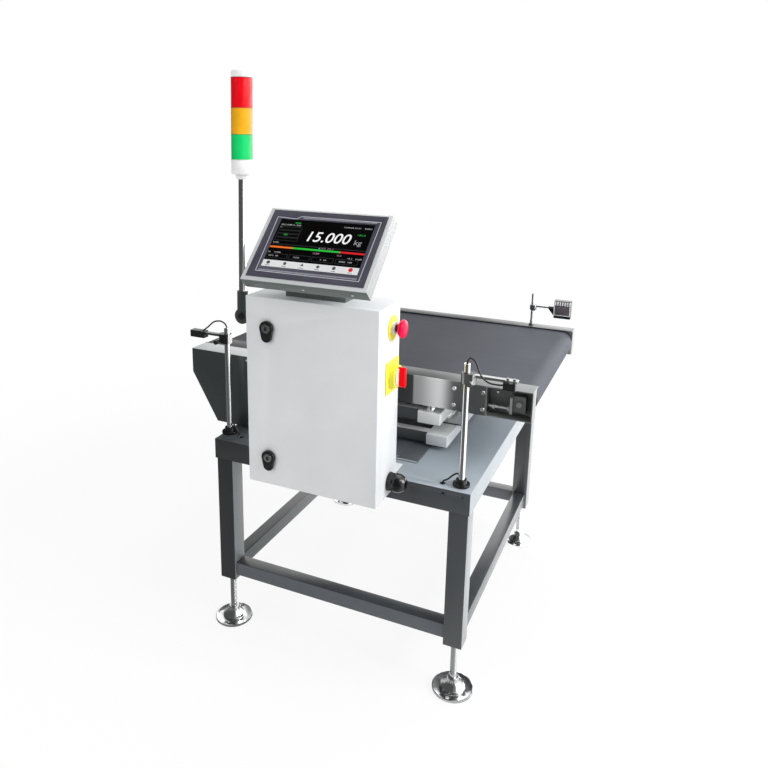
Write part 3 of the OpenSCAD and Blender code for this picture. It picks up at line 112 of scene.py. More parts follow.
bpy.ops.object.select_all(action="DESELECT")
bpy.ops.mesh.primitive_grid_add(x_subdivisions=8, y_subdivisions=8, size=60, location=(0, 10, 0))
floor = bpy.context.active_object
floor.name = "studio_floor"
bpy.ops.object.transform_apply(location=True, rotation=True, scale=True)
floor_white = bpy.data.materials.new("floor_white")
floor_white.use_nodes = True
tree = floor_white.node_tree
tree.nodes.clear()
path = link_in(tree, "ShaderNodeLightPath")
matt = link_in(tree, "ShaderNodeBsdfDiffuse", {"Color": (0.88, 0.88, 0.88, 1)})
# Painted reflection: seen in mirrors, the floor glows brighter towards the back right and dimmer towards the front
# left.
spot = link_in(tree, "ShaderNodeTexCoord").outputs["Object"]
across = link_in(tree, "ShaderNodeVectorMath", {0: spot, 1: (0.55, 0.78, 0.0)}, operation="DOT_PRODUCT")
sheen = link_in(tree, "ShaderNodeMapRange", {"Value": across.outputs["Value"], "From Min": -0.5, "From Max": 0.5,
                                             "To Min": 0.15, "To Max": 1.75}, interpolation_type="SMOOTHSTEP")
sheen = link_in(tree, "ShaderNodeMath", {0: sheen.outputs[0], 1: path.outputs["Is Glossy Ray"]}, operation="MULTIPLY")
sheen = link_in(tree, "ShaderNodeMath", {0: sheen.outputs[0], 1: path.outputs["Is Camera Ray"]}, operation="ADD")
glow = link_in(tree, "ShaderNodeEmission", {"Color": (1, 1, 1, 1), "Strength": sheen.outputs[0]})
away = link_in(tree, "ShaderNodeVectorMath", {0: spot}, operation="LENGTH")
far_off = link_in(tree, "ShaderNodeMapRange", {"Value": away.outputs["Value"], "From Min": 1.1, "From Max": 2.4,
                                               "To Min": 0.86, "To Max": 1.0}, interpolation_type="SMOOTHSTEP")
share = link_in(tree, "ShaderNodeMath", {0: path.outputs["Is Camera Ray"], 1: path.outputs["Is Glossy Ray"]},
                operation="MAXIMUM")
share = link_in(tree, "ShaderNodeMath", {0: share.outputs[0], 1: far_off.outputs[0]}, operation="MULTIPLY")
mix = link_in(tree, "ShaderNodeMixShader", {"Fac": share.outputs[0], 1: matt.outputs[0], 2: glow.outputs[0]})
link_in(tree, "ShaderNodeOutputMaterial", {"Surface": mix.outputs[0]})
floor.data.materials.append(floor_white)

for lamp_name, place, aim, size, watts in (
        ("panel_right", (3.4, -0.2, 2.4), (0.0, 0.0, 0.7), 2.0, 130),
        ("panel_left", (-2.0, -3.4, 2.2), (0.0, 0.0, 0.7), 2.4, 50),
        ("panel_top", (0.2, 0.6, 3.6), (0.0, 0.0, 0.6), 2.6, 34),
        ("panel_window", (2.6, 5.0, 1.6), (0.0, 0.0, 0.5), 2.6, 80)):
    lamp_data = bpy.data.lights.new(lamp_name, "AREA")
    lamp_data.shape = "SQUARE"
    lamp_data.size = size
    lamp_data.energy = watts
    lamp = bpy.data.objects.new(lamp_name, lamp_data)
    scene.collection.objects.link(lamp)
    lamp.location = place
    lamp.visible_glossy = lamp_name != "panel_left"
    lamp.rotation_euler = (Vector(aim) - Vector(place)).to_track_quat("-Z", "Y").to_euler()

# Welded stand: legs and rails of square steel tube, powder coated dark grey. Every
# corner of the tubes and of the folded cover is eased, as rolled tube and bent sheet are.


def body_holding(node):
    for body, members in frame["record"]["behaviour"]["bodies"].items():
        if node in members:
            return body


def alone(piece):
    bpy.ops.object.select_all(action="DESELECT")
    piece.select_set(True)
    bpy.context.view_layer.objects.active = piece


def round_over(piece, edge, rings, angle=40):
    alone(piece)
    bevel = piece.modifiers.new("eased_edge", "BEVEL")
    bevel.width = edge
    bevel.segments = rings
    bevel.limit_method = "ANGLE"
    bevel.angle_limit = math.radians(angle)
    bpy.ops.object.modifier_apply(modifier=bevel.name)
    bpy.ops.object.shade_smooth_by_angle(angle=math.radians(34))


def eased(node, edge, rings=2, angle=40):
    piece = frame["nodes"][node].copy()
    piece.data = frame["nodes"][node].data.copy()
    piece.name = node + "_eased"
    scene.collection.objects.link(piece)
    alone(piece)
    bpy.ops.object.mode_set(mode="EDIT")
    bpy.ops.mesh.select_all(action="SELECT")
    bpy.ops.mesh.remove_doubles(threshold=0.00001)
    bpy.ops.mesh.dissolve_limited(angle_limit=math.radians(0.5))
    bpy.ops.object.mode_set(mode="OBJECT")
    round_over(piece, edge, rings, angle)
    piece.data.materials.clear()
    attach(piece, body_holding(node))
    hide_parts(node)
    return piece


def dress(piece, material):
    piece.data.materials.clear()
    piece.data.materials.append(material)


def paint_where(piece, material, test):
    piece.data.materials.append(material)
    last = len(piece.data.materials) - 1
    for face in piece.data.polygons:
        if test(face.center, face.normal):
            face.material_index = last


def effect_group(name, inputs, outputs):
    tree = bpy.data.node_groups.new(name, "ShaderNodeTree")
    for label, kind, value in inputs:
        socket = tree.interface.new_socket(label, in_out="INPUT", socket_type=kind)
        socket.default_value = value
    for label, kind in outputs:
        tree.interface.new_socket(label, in_out="OUTPUT", socket_type=kind)
    return tree, tree.nodes.new("NodeGroupInput").outputs, tree.nodes.new("NodeGroupOutput").inputs


# Orange peel and fine speckle of a powder coat, with faint handling marks
powder_skin, given, out = effect_group(
    "powder_skin",
    [("Colour", "NodeSocketColor", (0.5, 0.5, 0.5, 1)), ("Grain", "NodeSocketFloat", 700.0),
     ("Marks", "NodeSocketFloat", 0.5), ("Rough", "NodeSocketFloat", 0.4)],
    [("Colour", "NodeSocketColor"), ("Roughness", "NodeSocketFloat"), ("Height", "NodeSocketFloat")])
spot = link_in(powder_skin, "ShaderNodeTexCoord").outputs["Object"]
peel = link_in(powder_skin, "ShaderNodeTexNoise", {"Vector": spot, "Scale": given["Grain"], "Detail": 2.0})
cloud = link_in(powder_skin, "ShaderNodeTexNoise", {"Vector": spot, "Scale": 7.0, "Detail": 5.0, "Roughness": 0.6})
shade = link_in(powder_skin, "ShaderNodeMapRange", {"Value": cloud.outputs["Fac"], "From Min": 0.3, "From Max": 0.7,
                                                    "To Min": 0.955, "To Max": 1.03})
fleck = link_in(powder_skin, "ShaderNodeMapRange", {"Value": peel.outputs["Fac"], "From Min": 0.3, "From Max": 0.7,
                                                    "To Min": 0.96, "To Max": 1.03})
tone = link_in(powder_skin, "ShaderNodeMath", {0: shade.outputs[0], 1: fleck.outputs[0]}, operation="MULTIPLY")
tinted = link_in(powder_skin, "ShaderNodeVectorMath", {0: given["Colour"], "Scale": tone.outputs[0]},
                 operation="SCALE")
powder_skin.links.new(tinted.outputs[0], out["Colour"])
smear = link_in(powder_skin, "ShaderNodeTexNoise", {"Vector": spot, "Scale": 18.0, "Detail": 6.0,
                                                    "Roughness": 0.65, "Distortion": 0.6})
smear = link_in(powder_skin, "ShaderNodeMapRange", {"Value": smear.outputs["Fac"], "From Min": 0.42, "From Max": 0.68,
                                                    "To Min": 0.0, "To Max": 0.14})
smear = link_in(powder_skin, "ShaderNodeMath", {0: smear.outputs[0], 1: given["Marks"]}, operation="MULTIPLY")
gloss = link_in(powder_skin, "ShaderNodeMath", {0: given["Rough"], 1: smear.outputs[0]}, operation="ADD")
powder_skin.links.new(gloss.outputs[0], out["Roughness"])
powder_skin.links.new(peel.outputs["Fac"], out["Height"])


def finish_of(name, metallic=0.0, **sockets):
    material = bpy.data.materials.new(name)
    material.use_nodes = True
    tree = material.node_tree
    surface = tree.nodes["Principled BSDF"]
    surface.inputs["Metallic"].default_value = metallic
    for key, value in sockets.items():
        surface.inputs[key.replace("_", " ")].default_value = value
    return material, tree, surface


def coat(name, colour, rough=0.4, grain=700.0, marks=0.5, bump=0.00004, **sockets):
    material, tree, surface = finish_of(name, **sockets)
    skin = tree.nodes.new("ShaderNodeGroup")
    skin.node_tree = powder_skin
    skin.inputs["Colour"].default_value = (*colour, 1)
    skin.inputs["Grain"].default_value = grain
    skin.inputs["Marks"].default_value = marks
    skin.inputs["Rough"].default_value = rough
    tree.links.new(skin.outputs["Colour"], surface.inputs["Base Color"])
    tree.links.new(skin.outputs["Roughness"], surface.inputs["Roughness"])
    raised = link_in(tree, "ShaderNodeBump", {"Height": skin.outputs["Height"], "Strength": 0.6, "Distance": bump})
    tree.links.new(raised.outputs[0], surface.inputs["Normal"])
    return material


frame_grey = coat("frame_grey_coat", (0.048, 0.054, 0.060), 0.3, Specular_IOR_Level=0.9)


# Painted shade: the paint's colour darkens towards the machine's left side
def shaded_left(material, colour, least, start=-0.30, end=0.10):
    tree = material.node_tree
    skin = next(n for n in tree.nodes if n.type == "GROUP")
    spot = link_in(tree, "ShaderNodeTexCoord").outputs["Object"]
    across = link_in(tree, "ShaderNodeSeparateXYZ", {0: spot}).outputs["X"]
    share = link_in(tree, "ShaderNodeMapRange", {"Value": across, "From Min": start, "From Max": end,
                                                 "To Min": least, "To Max": 1.0}, interpolation_type="SMOOTHSTEP")
    tint = link_in(tree, "ShaderNodeVectorMath", {0: colour, "Scale": share.outputs[0]}, operation="SCALE")
    tree.links.new(tint.outputs[0], skin.inputs["Colour"])


# Painted shade: the stand's paint darkens towards the left.
shaded_left(frame_grey, (0.048, 0.054, 0.060), 0.35)
legs = eased("legs", 0.0032, 3)
dress(legs, frame_grey)
# Painted light: the legs' faces towards +X take a lighter copy of the paint.
leg_lit_flank = coat("leg_flank_coat", (0.23, 0.25, 0.26), 0.3)
paint_where(legs, leg_lit_flank, lambda c, n: n.x > 0.9)
frame_rails = eased("frame_rails", 0.0026, 3)
dress(frame_rails, frame_grey)
# Painted light: the rails' faces towards +X and towards the front take lighter copies of the paint.
rail_lit_flank = coat("rail_flank_coat", (0.105, 0.117, 0.121), 0.3)
paint_where(frame_rails, rail_lit_flank, lambda c, n: n.x > 0.9)
rail_lit_face = coat("rail_face_coat", (0.10, 0.11, 0.123), 0.35, Specular_IOR_Level=0.6)
paint_where(frame_rails, rail_lit_face, lambda c, n: n.y < -0.9)
table_cover = eased("table_cover", 0.0012, 2)
dress(table_cover, frame_grey)
# Painted light: the cover's top takes a lighter copy of the paint, darkened towards the left as painted shade, and
# its faces towards +X a lighter copy still.
cover_lit_top = coat("cover_top_coat", (0.30, 0.345, 0.385), 0.42)
cover_lit_flank = coat("cover_flank_coat", (0.38, 0.415, 0.44), 0.45, Specular_IOR_Level=0.3)
shaded_left(cover_lit_top, (0.30, 0.345, 0.385), 0.15)
paint_where(table_cover, cover_lit_top, lambda c, n: n.z > 0.9)
paint_where(table_cover, cover_lit_flank, lambda c, n: n.x > 0.9)

# Leg plugs: a square block and a hexagon nut of zinc-plated steel close each leg and
# carry the foot's thread.


# Fine lines that run one way, as left by brushing, rolling or turning
brushed_skin, given, out = effect_group(
    "brushed_skin",
    [("Colour", "NodeSocketColor", (0.6, 0.6, 0.6, 1)), ("Stretch", "NodeSocketVector", (4.0, 400.0, 400.0)),
     ("Rough", "NodeSocketFloat", 0.3), ("Contrast", "NodeSocketFloat", 0.12)],
    [("Colour", "NodeSocketColor"), ("Roughness", "NodeSocketFloat"), ("Height", "NodeSocketFloat")])
spot = link_in(brushed_skin, "ShaderNodeTexCoord").outputs["Object"]
drawn = link_in(brushed_skin, "ShaderNodeVectorMath", {0: spot, 1: given["Stretch"]}, operation="MULTIPLY")
lines = link_in(brushed_skin, "ShaderNodeTexNoise", {"Vector": drawn.outputs[0], "Scale": 1.0, "Detail": 3.0,
                                                     "Roughness": 0.7})
haze = link_in(brushed_skin, "ShaderNodeTexNoise", {"Vector": spot, "Scale": 9.0, "Detail": 4.0})
swing = link_in(brushed_skin, "ShaderNodeMath", {0: lines.outputs["Fac"], 1: 0.5}, operation="SUBTRACT")
swing = link_in(brushed_skin, "ShaderNodeMath", {0: swing.outputs[0], 1: given["Contrast"]}, operation="MULTIPLY")
tone = link_in(brushed_skin, "ShaderNodeMath", {0: swing.outputs[0], 1: 1.0}, operation="ADD")
tinted = link_in(brushed_skin, "ShaderNodeVectorMath", {0: given["Colour"], "Scale": tone.outputs[0]},
                 operation="SCALE")
brushed_skin.links.new(tinted.outputs[0], out["Colour"])
haze = link_in(brushed_skin, "ShaderNodeMapRange", {"Value": haze.outputs["Fac"], "From Min": 0.35, "From Max": 0.7,
                                                    "To Min": -0.03, "To Max": 0.07})
gloss = link_in(brushed_skin, "ShaderNodeMath", {0: given["Rough"], 1: haze.outputs[0]}, operation="ADD")
gloss = link_in(brushed_skin, "ShaderNodeMath", {0: gloss.outputs[0], 1: swing.outputs[0]}, operation="ADD")
brushed_skin.links.new(gloss.outputs[0], out["Roughness"])
brushed_skin.links.new(lines.outputs["Fac"], out["Height"])


def metal(name, colour, stretch=(4.0, 400.0, 400.0), rough=0.3, contrast=0.12, bump=0.00002, metallic=1.0, **sockets):
    material, tree, surface = finish_of(name, metallic, **sockets)
    skin = tree.nodes.new("ShaderNodeGroup")
    skin.node_tree = brushed_skin
    skin.inputs["Colour"].default_value = (*colour, 1)
    skin.inputs["Stretch"].default_value = stretch
    skin.inputs["Rough"].default_value = rough
    skin.inputs["Contrast"].default_value = contrast
    tree.links.new(skin.outputs["Colour"], surface.inputs["Base Color"])
    tree.links.new(skin.outputs["Roughness"], surface.inputs["Roughness"])
    raised = link_in(tree, "ShaderNodeBump", {"Height": skin.outputs["Height"], "Strength": 0.5, "Distance": bump})
    tree.links.new(raised.outputs[0], surface.inputs["Normal"])
    return material


zinc = metal("zinc_plate", (0.66, 0.67, 0.69), stretch=(60.0, 60.0, 60.0), rough=0.34)
leg_inserts = eased("leg_inserts", 0.0007, 1)
dress(leg_inserts, zinc)

# Levelling feet: a turned stainless plate with a bell, and a threaded stem.
turned_steel = metal("turned_steel", (0.62, 0.63, 0.63), stretch=(30.0, 30.0, 700.0), rough=0.15, contrast=0.05,
                     bump=0.000006)
tree = turned_steel.node_tree
surface = tree.nodes["Principled BSDF"]
spot = link_in(tree, "ShaderNodeTexCoord").outputs["Object"]
height = link_in(tree, "ShaderNodeSeparateXYZ", {0: spot}).outputs["Z"]
on_stem = link_in(tree, "ShaderNodeMath", {0: height, 1: 0.045}, operation="GREATER_THAN")
thread = link_in(tree, "ShaderNodeTexWave", {"Vector": spot, "Scale": 157.0}, bands_direction="Z")
crest = link_in(tree, "ShaderNodeMath", {0: thread.outputs["Fac"], 1: on_stem.outputs[0]}, operation="MULTIPLY")
raised = link_in(tree, "ShaderNodeBump", {"Height": crest.outputs[0], "Strength": 0.8, "Distance": 0.0003})
tree.links.new(surface.inputs["Normal"].links[0].from_socket, raised.inputs["Normal"])
tree.links.new(raised.outputs[0], surface.inputs["Normal"])
for corner in ("front_left", "front_right", "rear_left", "rear_right"):
    foot = eased("foot_" + corner, 0.0008, 2, 50)
    dress(foot, turned_steel)

# Base plate of the weigh frame: grey painted steel sheet with a rolled front edge and a
# row of screws, lying on the table.
plate_grey = coat("plate_grey_coat", (0.066, 0.074, 0.084), 0.5, marks=0.8)
scale_base_plate = eased("scale_base_plate", 0.0008, 2)
dress(scale_base_plate, plate_grey)
# Painted light: the plate's front edge takes the lighter paint of the cover's faces towards +X.
paint_where(scale_base_plate, cover_lit_flank, lambda c, n: n.y < -0.6)

# Rubber pads between the table and the lower beams.


# Fine pebble of moulded rubber and plastic
moulded_skin, given, out = effect_group(
    "moulded_skin",
    [("Colour", "NodeSocketColor", (0.1, 0.1, 0.1, 1)), ("Grain", "NodeSocketFloat", 900.0),
     ("Rough", "NodeSocketFloat", 0.5)],
    [("Colour", "NodeSocketColor"), ("Roughness", "NodeSocketFloat"), ("Height", "NodeSocketFloat")])
spot = link_in(moulded_skin, "ShaderNodeTexCoord").outputs["Object"]
pebble = link_in(moulded_skin, "ShaderNodeTexNoise", {"Vector": spot, "Scale": given["Grain"], "Detail": 3.0})
haze = link_in(moulded_skin, "ShaderNodeTexNoise", {"Vector": spot, "Scale": 22.0, "Detail": 5.0})
tone = link_in(moulded_skin, "ShaderNodeMapRange", {"Value": haze.outputs["Fac"], "From Min": 0.3, "From Max": 0.7,
                                                    "To Min": 0.92, "To Max": 1.06})
tinted = link_in(moulded_skin, "ShaderNodeVectorMath", {0: given["Colour"], "Scale": tone.outputs[0]},
                 operation="SCALE")
moulded_skin.links.new(tinted.outputs[0], out["Colour"])
haze = link_in(moulded_skin, "ShaderNodeMapRange", {"Value": haze.outputs["Fac"], "From Min": 0.35, "From Max": 0.7,
                                                    "To Min": -0.04, "To Max": 0.08})
gloss = link_in(moulded_skin, "ShaderNodeMath", {0: given["Rough"], 1: haze.outputs[0]}, operation="ADD")
moulded_skin.links.new(gloss.outputs[0], out["Roughness"])
moulded_skin.links.new(pebble.outputs["Fac"], out["Height"])


def moulded(name, colour, rough=0.5, grain=900.0, bump=0.00003, **sockets):
    material, tree, surface = finish_of(name, **sockets)
    skin = tree.nodes.new("ShaderNodeGroup")
    skin.node_tree = moulded_skin
    skin.inputs["Colour"].default_value = (*colour, 1)
    skin.inputs["Grain"].default_value = grain
    skin.inputs["Rough"].default_value = rough
    tree.links.new(skin.outputs["Colour"], surface.inputs["Base Color"])
    tree.links.new(skin.outputs["Roughness"], surface.inputs["Roughness"])
    raised = link_in(tree, "ShaderNodeBump", {"Height": skin.outputs["Height"], "Strength": 0.5, "Distance": bump})
    tree.links.new(raised.outputs[0], surface.inputs["Normal"])
    return material


pad_rubber = moulded("pad_rubber", (0.03, 0.03, 0.032), 0.7)
beam_pads = eased("beam_pads", 0.0012, 2)
dress(beam_pads, pad_rubber)

# Lower frame: two light grey painted beams and two cross bars, with plates that carry
# the load cells.
beam_grey = coat("beam_grey_coat", (0.70, 0.73, 0.75), 0.45, marks=0.8)
lower_frame = eased("lower_frame", 0.0024, 3)
dress(lower_frame, beam_grey)
# Painted light and shade: the middle of the lower beams' tops takes a lighter copy of the paint, and the cross bars'
# fronts a dark painted shade.
beam_lit_top = coat("beam_bright_coat", (0.88, 0.90, 0.90), 0.45)
bar_front_shade = coat("bar_dark_coat", (0.075, 0.082, 0.088), 0.5)
paint_where(lower_frame, beam_lit_top, lambda c, n: n.z > 0.9 and abs(c.x) < 0.15)
paint_where(lower_frame, bar_front_shade, lambda c, n: n.y < -0.7 and c.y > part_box("lower_frame")[0][1] + 0.004)

# Load cells: bars of nickel-plated steel, bolted to the lower beams at one end and to
# the upper beams at the other.
cell_nickel = metal("cell_nickel", (0.70, 0.71, 0.70), stretch=(300.0, 5.0, 300.0), rough=0.3)
load_cells = eased("load_cells", 0.0006, 2)
dress(load_cells, cell_nickel)

# Upper frame: two near-white painted beams, closed at their ends.
beam_white = coat("beam_white_coat", (0.88, 0.90, 0.90), 0.45)
upper_frame = eased("upper_frame", 0.0034, 3)
dress(upper_frame, beam_white)
# Painted shade: the cross bars' fronts take the same dark paint.
paint_where(upper_frame, bar_front_shade, lambda c, n: n.y < -0.7 and c.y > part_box("upper_frame")[0][1] + 0.005)

# Support studs: turned bright steel, from the upper beams to the side frames.
stud_bright = metal("stud_bright", (0.82, 0.82, 0.82), stretch=(40.0, 40.0, 700.0), rough=0.16, contrast=0.05)
support_studs = eased("support_studs", 0.0008, 2)
dress(support_studs, stud_bright)

# Conveyor side frames: folded stainless channels, brushed along their length.
side_brushed = metal("side_brushed", (0.30, 0.31, 0.31), stretch=(3.0, 500.0, 500.0), rough=0.34, contrast=0.16)
# Painted shade: faces within the channels, on their webs and bottom flanges, take a darker, duller copy of the steel,
# and the top flanges a darker copy that darkens further towards the left.
side_shade_dull = metal("side_shade_dull", (0.125, 0.138, 0.130), stretch=(3.0, 500.0, 500.0), rough=0.5, contrast=0.2,
                  metallic=0.4)
flange_shaded = metal("flange_shaded", (0.15, 0.155, 0.155), stretch=(3.0, 500.0, 500.0), rough=0.42, contrast=0.2)
shaded_left(flange_shaded, (0.17, 0.175, 0.175), 0.2, 0.14, 0.42)
for side in ("near", "far"):
    channel = eased("conveyor_side_" + side, 0.0009, 2)
    dress(channel, side_brushed)
    low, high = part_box("conveyor_side_" + side)
    paint_where(channel, side_shade_dull, lambda c, n: abs(n.y) > 0.7 and low.y + 0.004 < c.y < high.y - 0.004
                or n.z > 0.7 and c.z < low.z + 0.004)
    paint_where(channel, flange_shaded, lambda c, n: n.z > 0.7 and c.z > high.z - 0.003)

# Side cover: a brushed stainless sheet over the near channel. A painted reflection of a white board lies on it as one
# bright upright band, sharp on its left and soft on its right and not metallic there, and the sheet darkens towards
# the left as painted shade.
cover_brushed = metal("cover_brushed", (0.19, 0.20, 0.195), stretch=(3.0, 500.0, 500.0), rough=0.36, contrast=0.16)
shaded_left(cover_brushed, (0.19, 0.20, 0.195), 0.45, 0.13, 0.26)
tree = cover_brushed.node_tree
surface = tree.nodes["Principled BSDF"]
spot = link_in(tree, "ShaderNodeTexCoord").outputs["Object"]
along = link_in(tree, "ShaderNodeSeparateXYZ", {0: spot}).outputs["X"]
left_edge = link_in(tree, "ShaderNodeMapRange", {"Value": along, "From Min": 0.159, "From Max": 0.163})
right_edge = link_in(tree, "ShaderNodeMapRange", {"Value": along, "From Min": 0.226, "From Max": 0.270,
                                                  "To Min": 1.0, "To Max": 0.0}, interpolation_type="SMOOTHSTEP")
band = link_in(tree, "ShaderNodeMath", {0: left_edge.outputs[0], 1: right_edge.outputs[0]}, operation="MULTIPLY")
plate = surface.inputs["Base Color"].links[0].from_socket
lit = link_in(tree, "ShaderNodeMix", {"Factor": band.outputs[0]}, data_type="RGBA")
tree.links.new(plate, lit.inputs["A"])
sheen = link_in(tree, "ShaderNodeMapRange", {"Value": along, "From Min": 0.168, "From Max": 0.226,
                                             "To Min": 0.42, "To Max": 0.88}, interpolation_type="SMOOTHSTEP")
sheen = link_in(tree, "ShaderNodeVectorMath", {0: (1.0, 1.0, 1.0), "Scale": sheen.outputs[0]}, operation="SCALE")
tree.links.new(sheen.outputs[0], lit.inputs["B"])
tree.links.new(lit.outputs["Result"], surface.inputs["Base Color"])
steel = link_in(tree, "ShaderNodeMath", {0: 1.0, 1: band.outputs[0]}, operation="SUBTRACT")
tree.links.new(steel.outputs[0], surface.inputs["Metallic"])
side_cover = eased("side_cover", 0.0004, 1)
dress(side_cover, cover_brushed)

# Belt bed: stainless sheet on three box-section bars.
bed_sheet = metal("bed_sheet", (0.55, 0.56, 0.57), stretch=(4.0, 300.0, 300.0), rough=0.4)
belt_bed = eased("belt_bed", 0.0008, 1)
dress(belt_bed, bed_sheet)

# Conveyor belt: dark grey coated fabric, with the fabric's fine weave showing through
# the coat.
belt_grey, tree, surface = finish_of("belt_grey", Specular_IOR_Level=0.1)
spot = link_in(tree, "ShaderNodeTexCoord").outputs["Object"]
cloud = link_in(tree, "ShaderNodeTexNoise", {"Vector": spot, "Scale": 5.0, "Detail": 6.0, "Roughness": 0.6})
streaks = link_in(tree, "ShaderNodeMapping", {"Vector": spot, "Scale": (2.0, 90.0, 2.0)})
scuff = link_in(tree, "ShaderNodeTexNoise", {"Vector": streaks.outputs[0], "Scale": 1.0, "Detail": 5.0})
tone = link_in(tree, "ShaderNodeMath", {0: cloud.outputs["Fac"], 1: scuff.outputs["Fac"]}, operation="ADD")
belt_tone = link_in(tree, "ShaderNodeValToRGB", {"Fac": tone.outputs[0]})
belt_tone.color_ramp.elements[0].position = 0.35
belt_tone.color_ramp.elements[0].color = (0.050, 0.053, 0.064, 1)
belt_tone.color_ramp.elements[1].position = 0.65
belt_tone.color_ramp.elements[1].color = (0.070, 0.075, 0.088, 1)
half_tone = link_in(tree, "ShaderNodeMath", {0: tone.outputs[0], 1: 0.5}, operation="MULTIPLY")
tree.links.new(half_tone.outputs[0], belt_tone.inputs["Fac"])
# Painted light: the belt's colour grows brighter towards +X, from 0.72 to 1.4 times its tone.
across = link_in(tree, "ShaderNodeSeparateXYZ", {0: spot}).outputs["X"]
share = link_in(tree, "ShaderNodeMapRange", {"Value": across, "From Min": 0.05, "From Max": 0.42,
                                             "To Min": 0.72, "To Max": 1.4}, interpolation_type="SMOOTHSTEP")
tint = link_in(tree, "ShaderNodeVectorMath", {0: belt_tone.outputs["Color"], "Scale": share.outputs[0]},
               operation="SCALE")
tree.links.new(tint.outputs[0], surface.inputs["Base Color"])
gloss = link_in(tree, "ShaderNodeMapRange", {"Value": scuff.outputs["Fac"], "From Min": 0.3, "From Max": 0.7,
                                             "To Min": 0.6, "To Max": 0.72})
tree.links.new(gloss.outputs[0], surface.inputs["Roughness"])
along = link_in(tree, "ShaderNodeTexWave", {"Vector": spot, "Scale": 260.0, "Distortion": 0.4}, bands_direction="X")
across = link_in(tree, "ShaderNodeTexWave", {"Vector": spot, "Scale": 260.0, "Distortion": 0.4}, bands_direction="Y")
weave = link_in(tree, "ShaderNodeMath", {0: along.outputs["Fac"], 1: across.outputs["Fac"]}, operation="MULTIPLY")
raised = link_in(tree, "ShaderNodeBump", {"Height": weave.outputs[0], "Strength": 0.35, "Distance": 0.0001})
tree.links.new(raised.outputs[0], surface.inputs["Normal"])
conveyor_belt = eased("conveyor_belt", 0.0004, 1)
dress(conveyor_belt, belt_grey)

# Rollers: turned steel tubes on shafts, with the drive roller's pulley at its near end.
roller_steel = metal("roller_steel", (0.66, 0.67, 0.69), stretch=(40.0, 900.0, 40.0), rough=0.26)
for name in ("drive_roller", "tail_roller"):
    roller = eased(name, 0.0005, 1)
    dress(roller, roller_steel)

# Belt tensioners: zinc-plated blocks, pull bars, screws and nuts at the tail end, and
# cast bearing flanges at the drive end.
take_up_blocks = eased("take_up_blocks", 0.0006, 1)
dress(take_up_blocks, zinc)
axle = (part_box("tail_roller")[0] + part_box("tail_roller")[1]) / 2
# Painted shade: the blocks' part towards +X takes the channels' darker, duller steel.
paint_where(take_up_blocks, side_shade_dull, lambda c, n: c.x > axle.x - 0.0152)
bearing_iron = coat("bearing_iron_coat", (0.13, 0.14, 0.15), 0.45, 300.0, bump=0.0001)
drive_bearings = eased("drive_bearings", 0.001, 2)
dress(drive_bearings, bearing_iron)

# Drive guard: a folded sheet box over the timing belt, powder coated dark grey.
guard_grey = coat("guard_grey_coat", (0.030, 0.036, 0.036), 0.32, marks=0.8)
drive_guard = eased("drive_guard", 0.0007, 2)
dress(drive_guard, guard_grey)
# Painted light: the guard's top takes a much lighter copy of its dark paint.
guard_lit_top = coat("guard_top_coat", (0.42, 0.44, 0.44), 0.4)
paint_where(drive_guard, guard_lit_top, lambda c, n: n.z > 0.9)

# Gear motor on its mounting plate, the motor pulley and the timing belt.
motor_black = coat("motor_black_coat", (0.045, 0.046, 0.050), 0.4, 350.0, bump=0.00008)
gear_motor = eased("gear_motor", 0.0012, 2)
dress(gear_motor, motor_black)
pulley_alloy = metal("pulley_alloy", (0.72, 0.73, 0.75), stretch=(50.0, 800.0, 50.0), rough=0.28)
motor_pulley = eased("motor_pulley", 0.0003, 1)
dress(motor_pulley, pulley_alloy)
belt_rubber = moulded("timing_belt_rubber", (0.02, 0.02, 0.021), 0.6)
dress(frame["nodes"]["timing_belt"], belt_rubber)

# Control cabinet: folded steel sheet, powder coated light grey, with a door that is a
# shallow tray of the same sheet and a foam seal inside its edge.
cabinet_grey = coat("cabinet_grey_coat", (0.66, 0.675, 0.69), 0.6, 900.0, 0.6, Specular_IOR_Level=0.25)
cabinet_shell = eased("cabinet_shell", 0.0007, 2)
dress(cabinet_shell, cabinet_grey)
cabinet_door = eased("cabinet_door", 0.0007, 2)
dress(cabinet_door, cabinet_grey)
seal_foam = moulded("seal_foam", (0.02, 0.02, 0.02), 0.85, 500.0, 0.0002)
dress(frame["nodes"]["door_gasket"], seal_foam)
cabinet_bracket = eased("cabinet_bracket", 0.001, 2)
dress(cabinet_bracket, cabinet_grey)

# Cabinet locks: black moulded escutcheons with chromed barrels.
lock_black = moulded("lock_black", (0.012, 0.012, 0.012), 0.22, 1200.0, 0.00001)
lock_housings = eased("lock_housings", 0.0028, 4, 60)
dress(lock_housings, lock_black)
lock_chrome = metal("lock_chrome", (0.46, 0.47, 0.47), stretch=(60.0, 60.0, 60.0), rough=0.25, contrast=0.04)

def moulded_bar(name, low, high, ease, material, body):
    bpy.ops.object.select_all(action="DESELECT")
    middle = [(a + b) / 2 for a, b in zip(low, high)]
    bpy.ops.mesh.primitive_cube_add(size=1, location=middle)
    piece = bpy.context.active_object
    piece.name = name
    piece.scale = [b - a for a, b in zip(low, high)]
    bpy.ops.object.transform_apply(location=True, rotation=True, scale=True)
    bpy.ops.object.mode_set(mode="EDIT")
    bpy.ops.mesh.select_all(action="SELECT")
    bpy.ops.mesh.bevel(offset=ease, segments=2, affect="EDGES")
    bpy.ops.object.mode_set(mode="OBJECT")
    bpy.ops.object.shade_smooth_by_angle(angle=math.radians(34))
    dress(piece, material)
    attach(piece, body)
    return piece


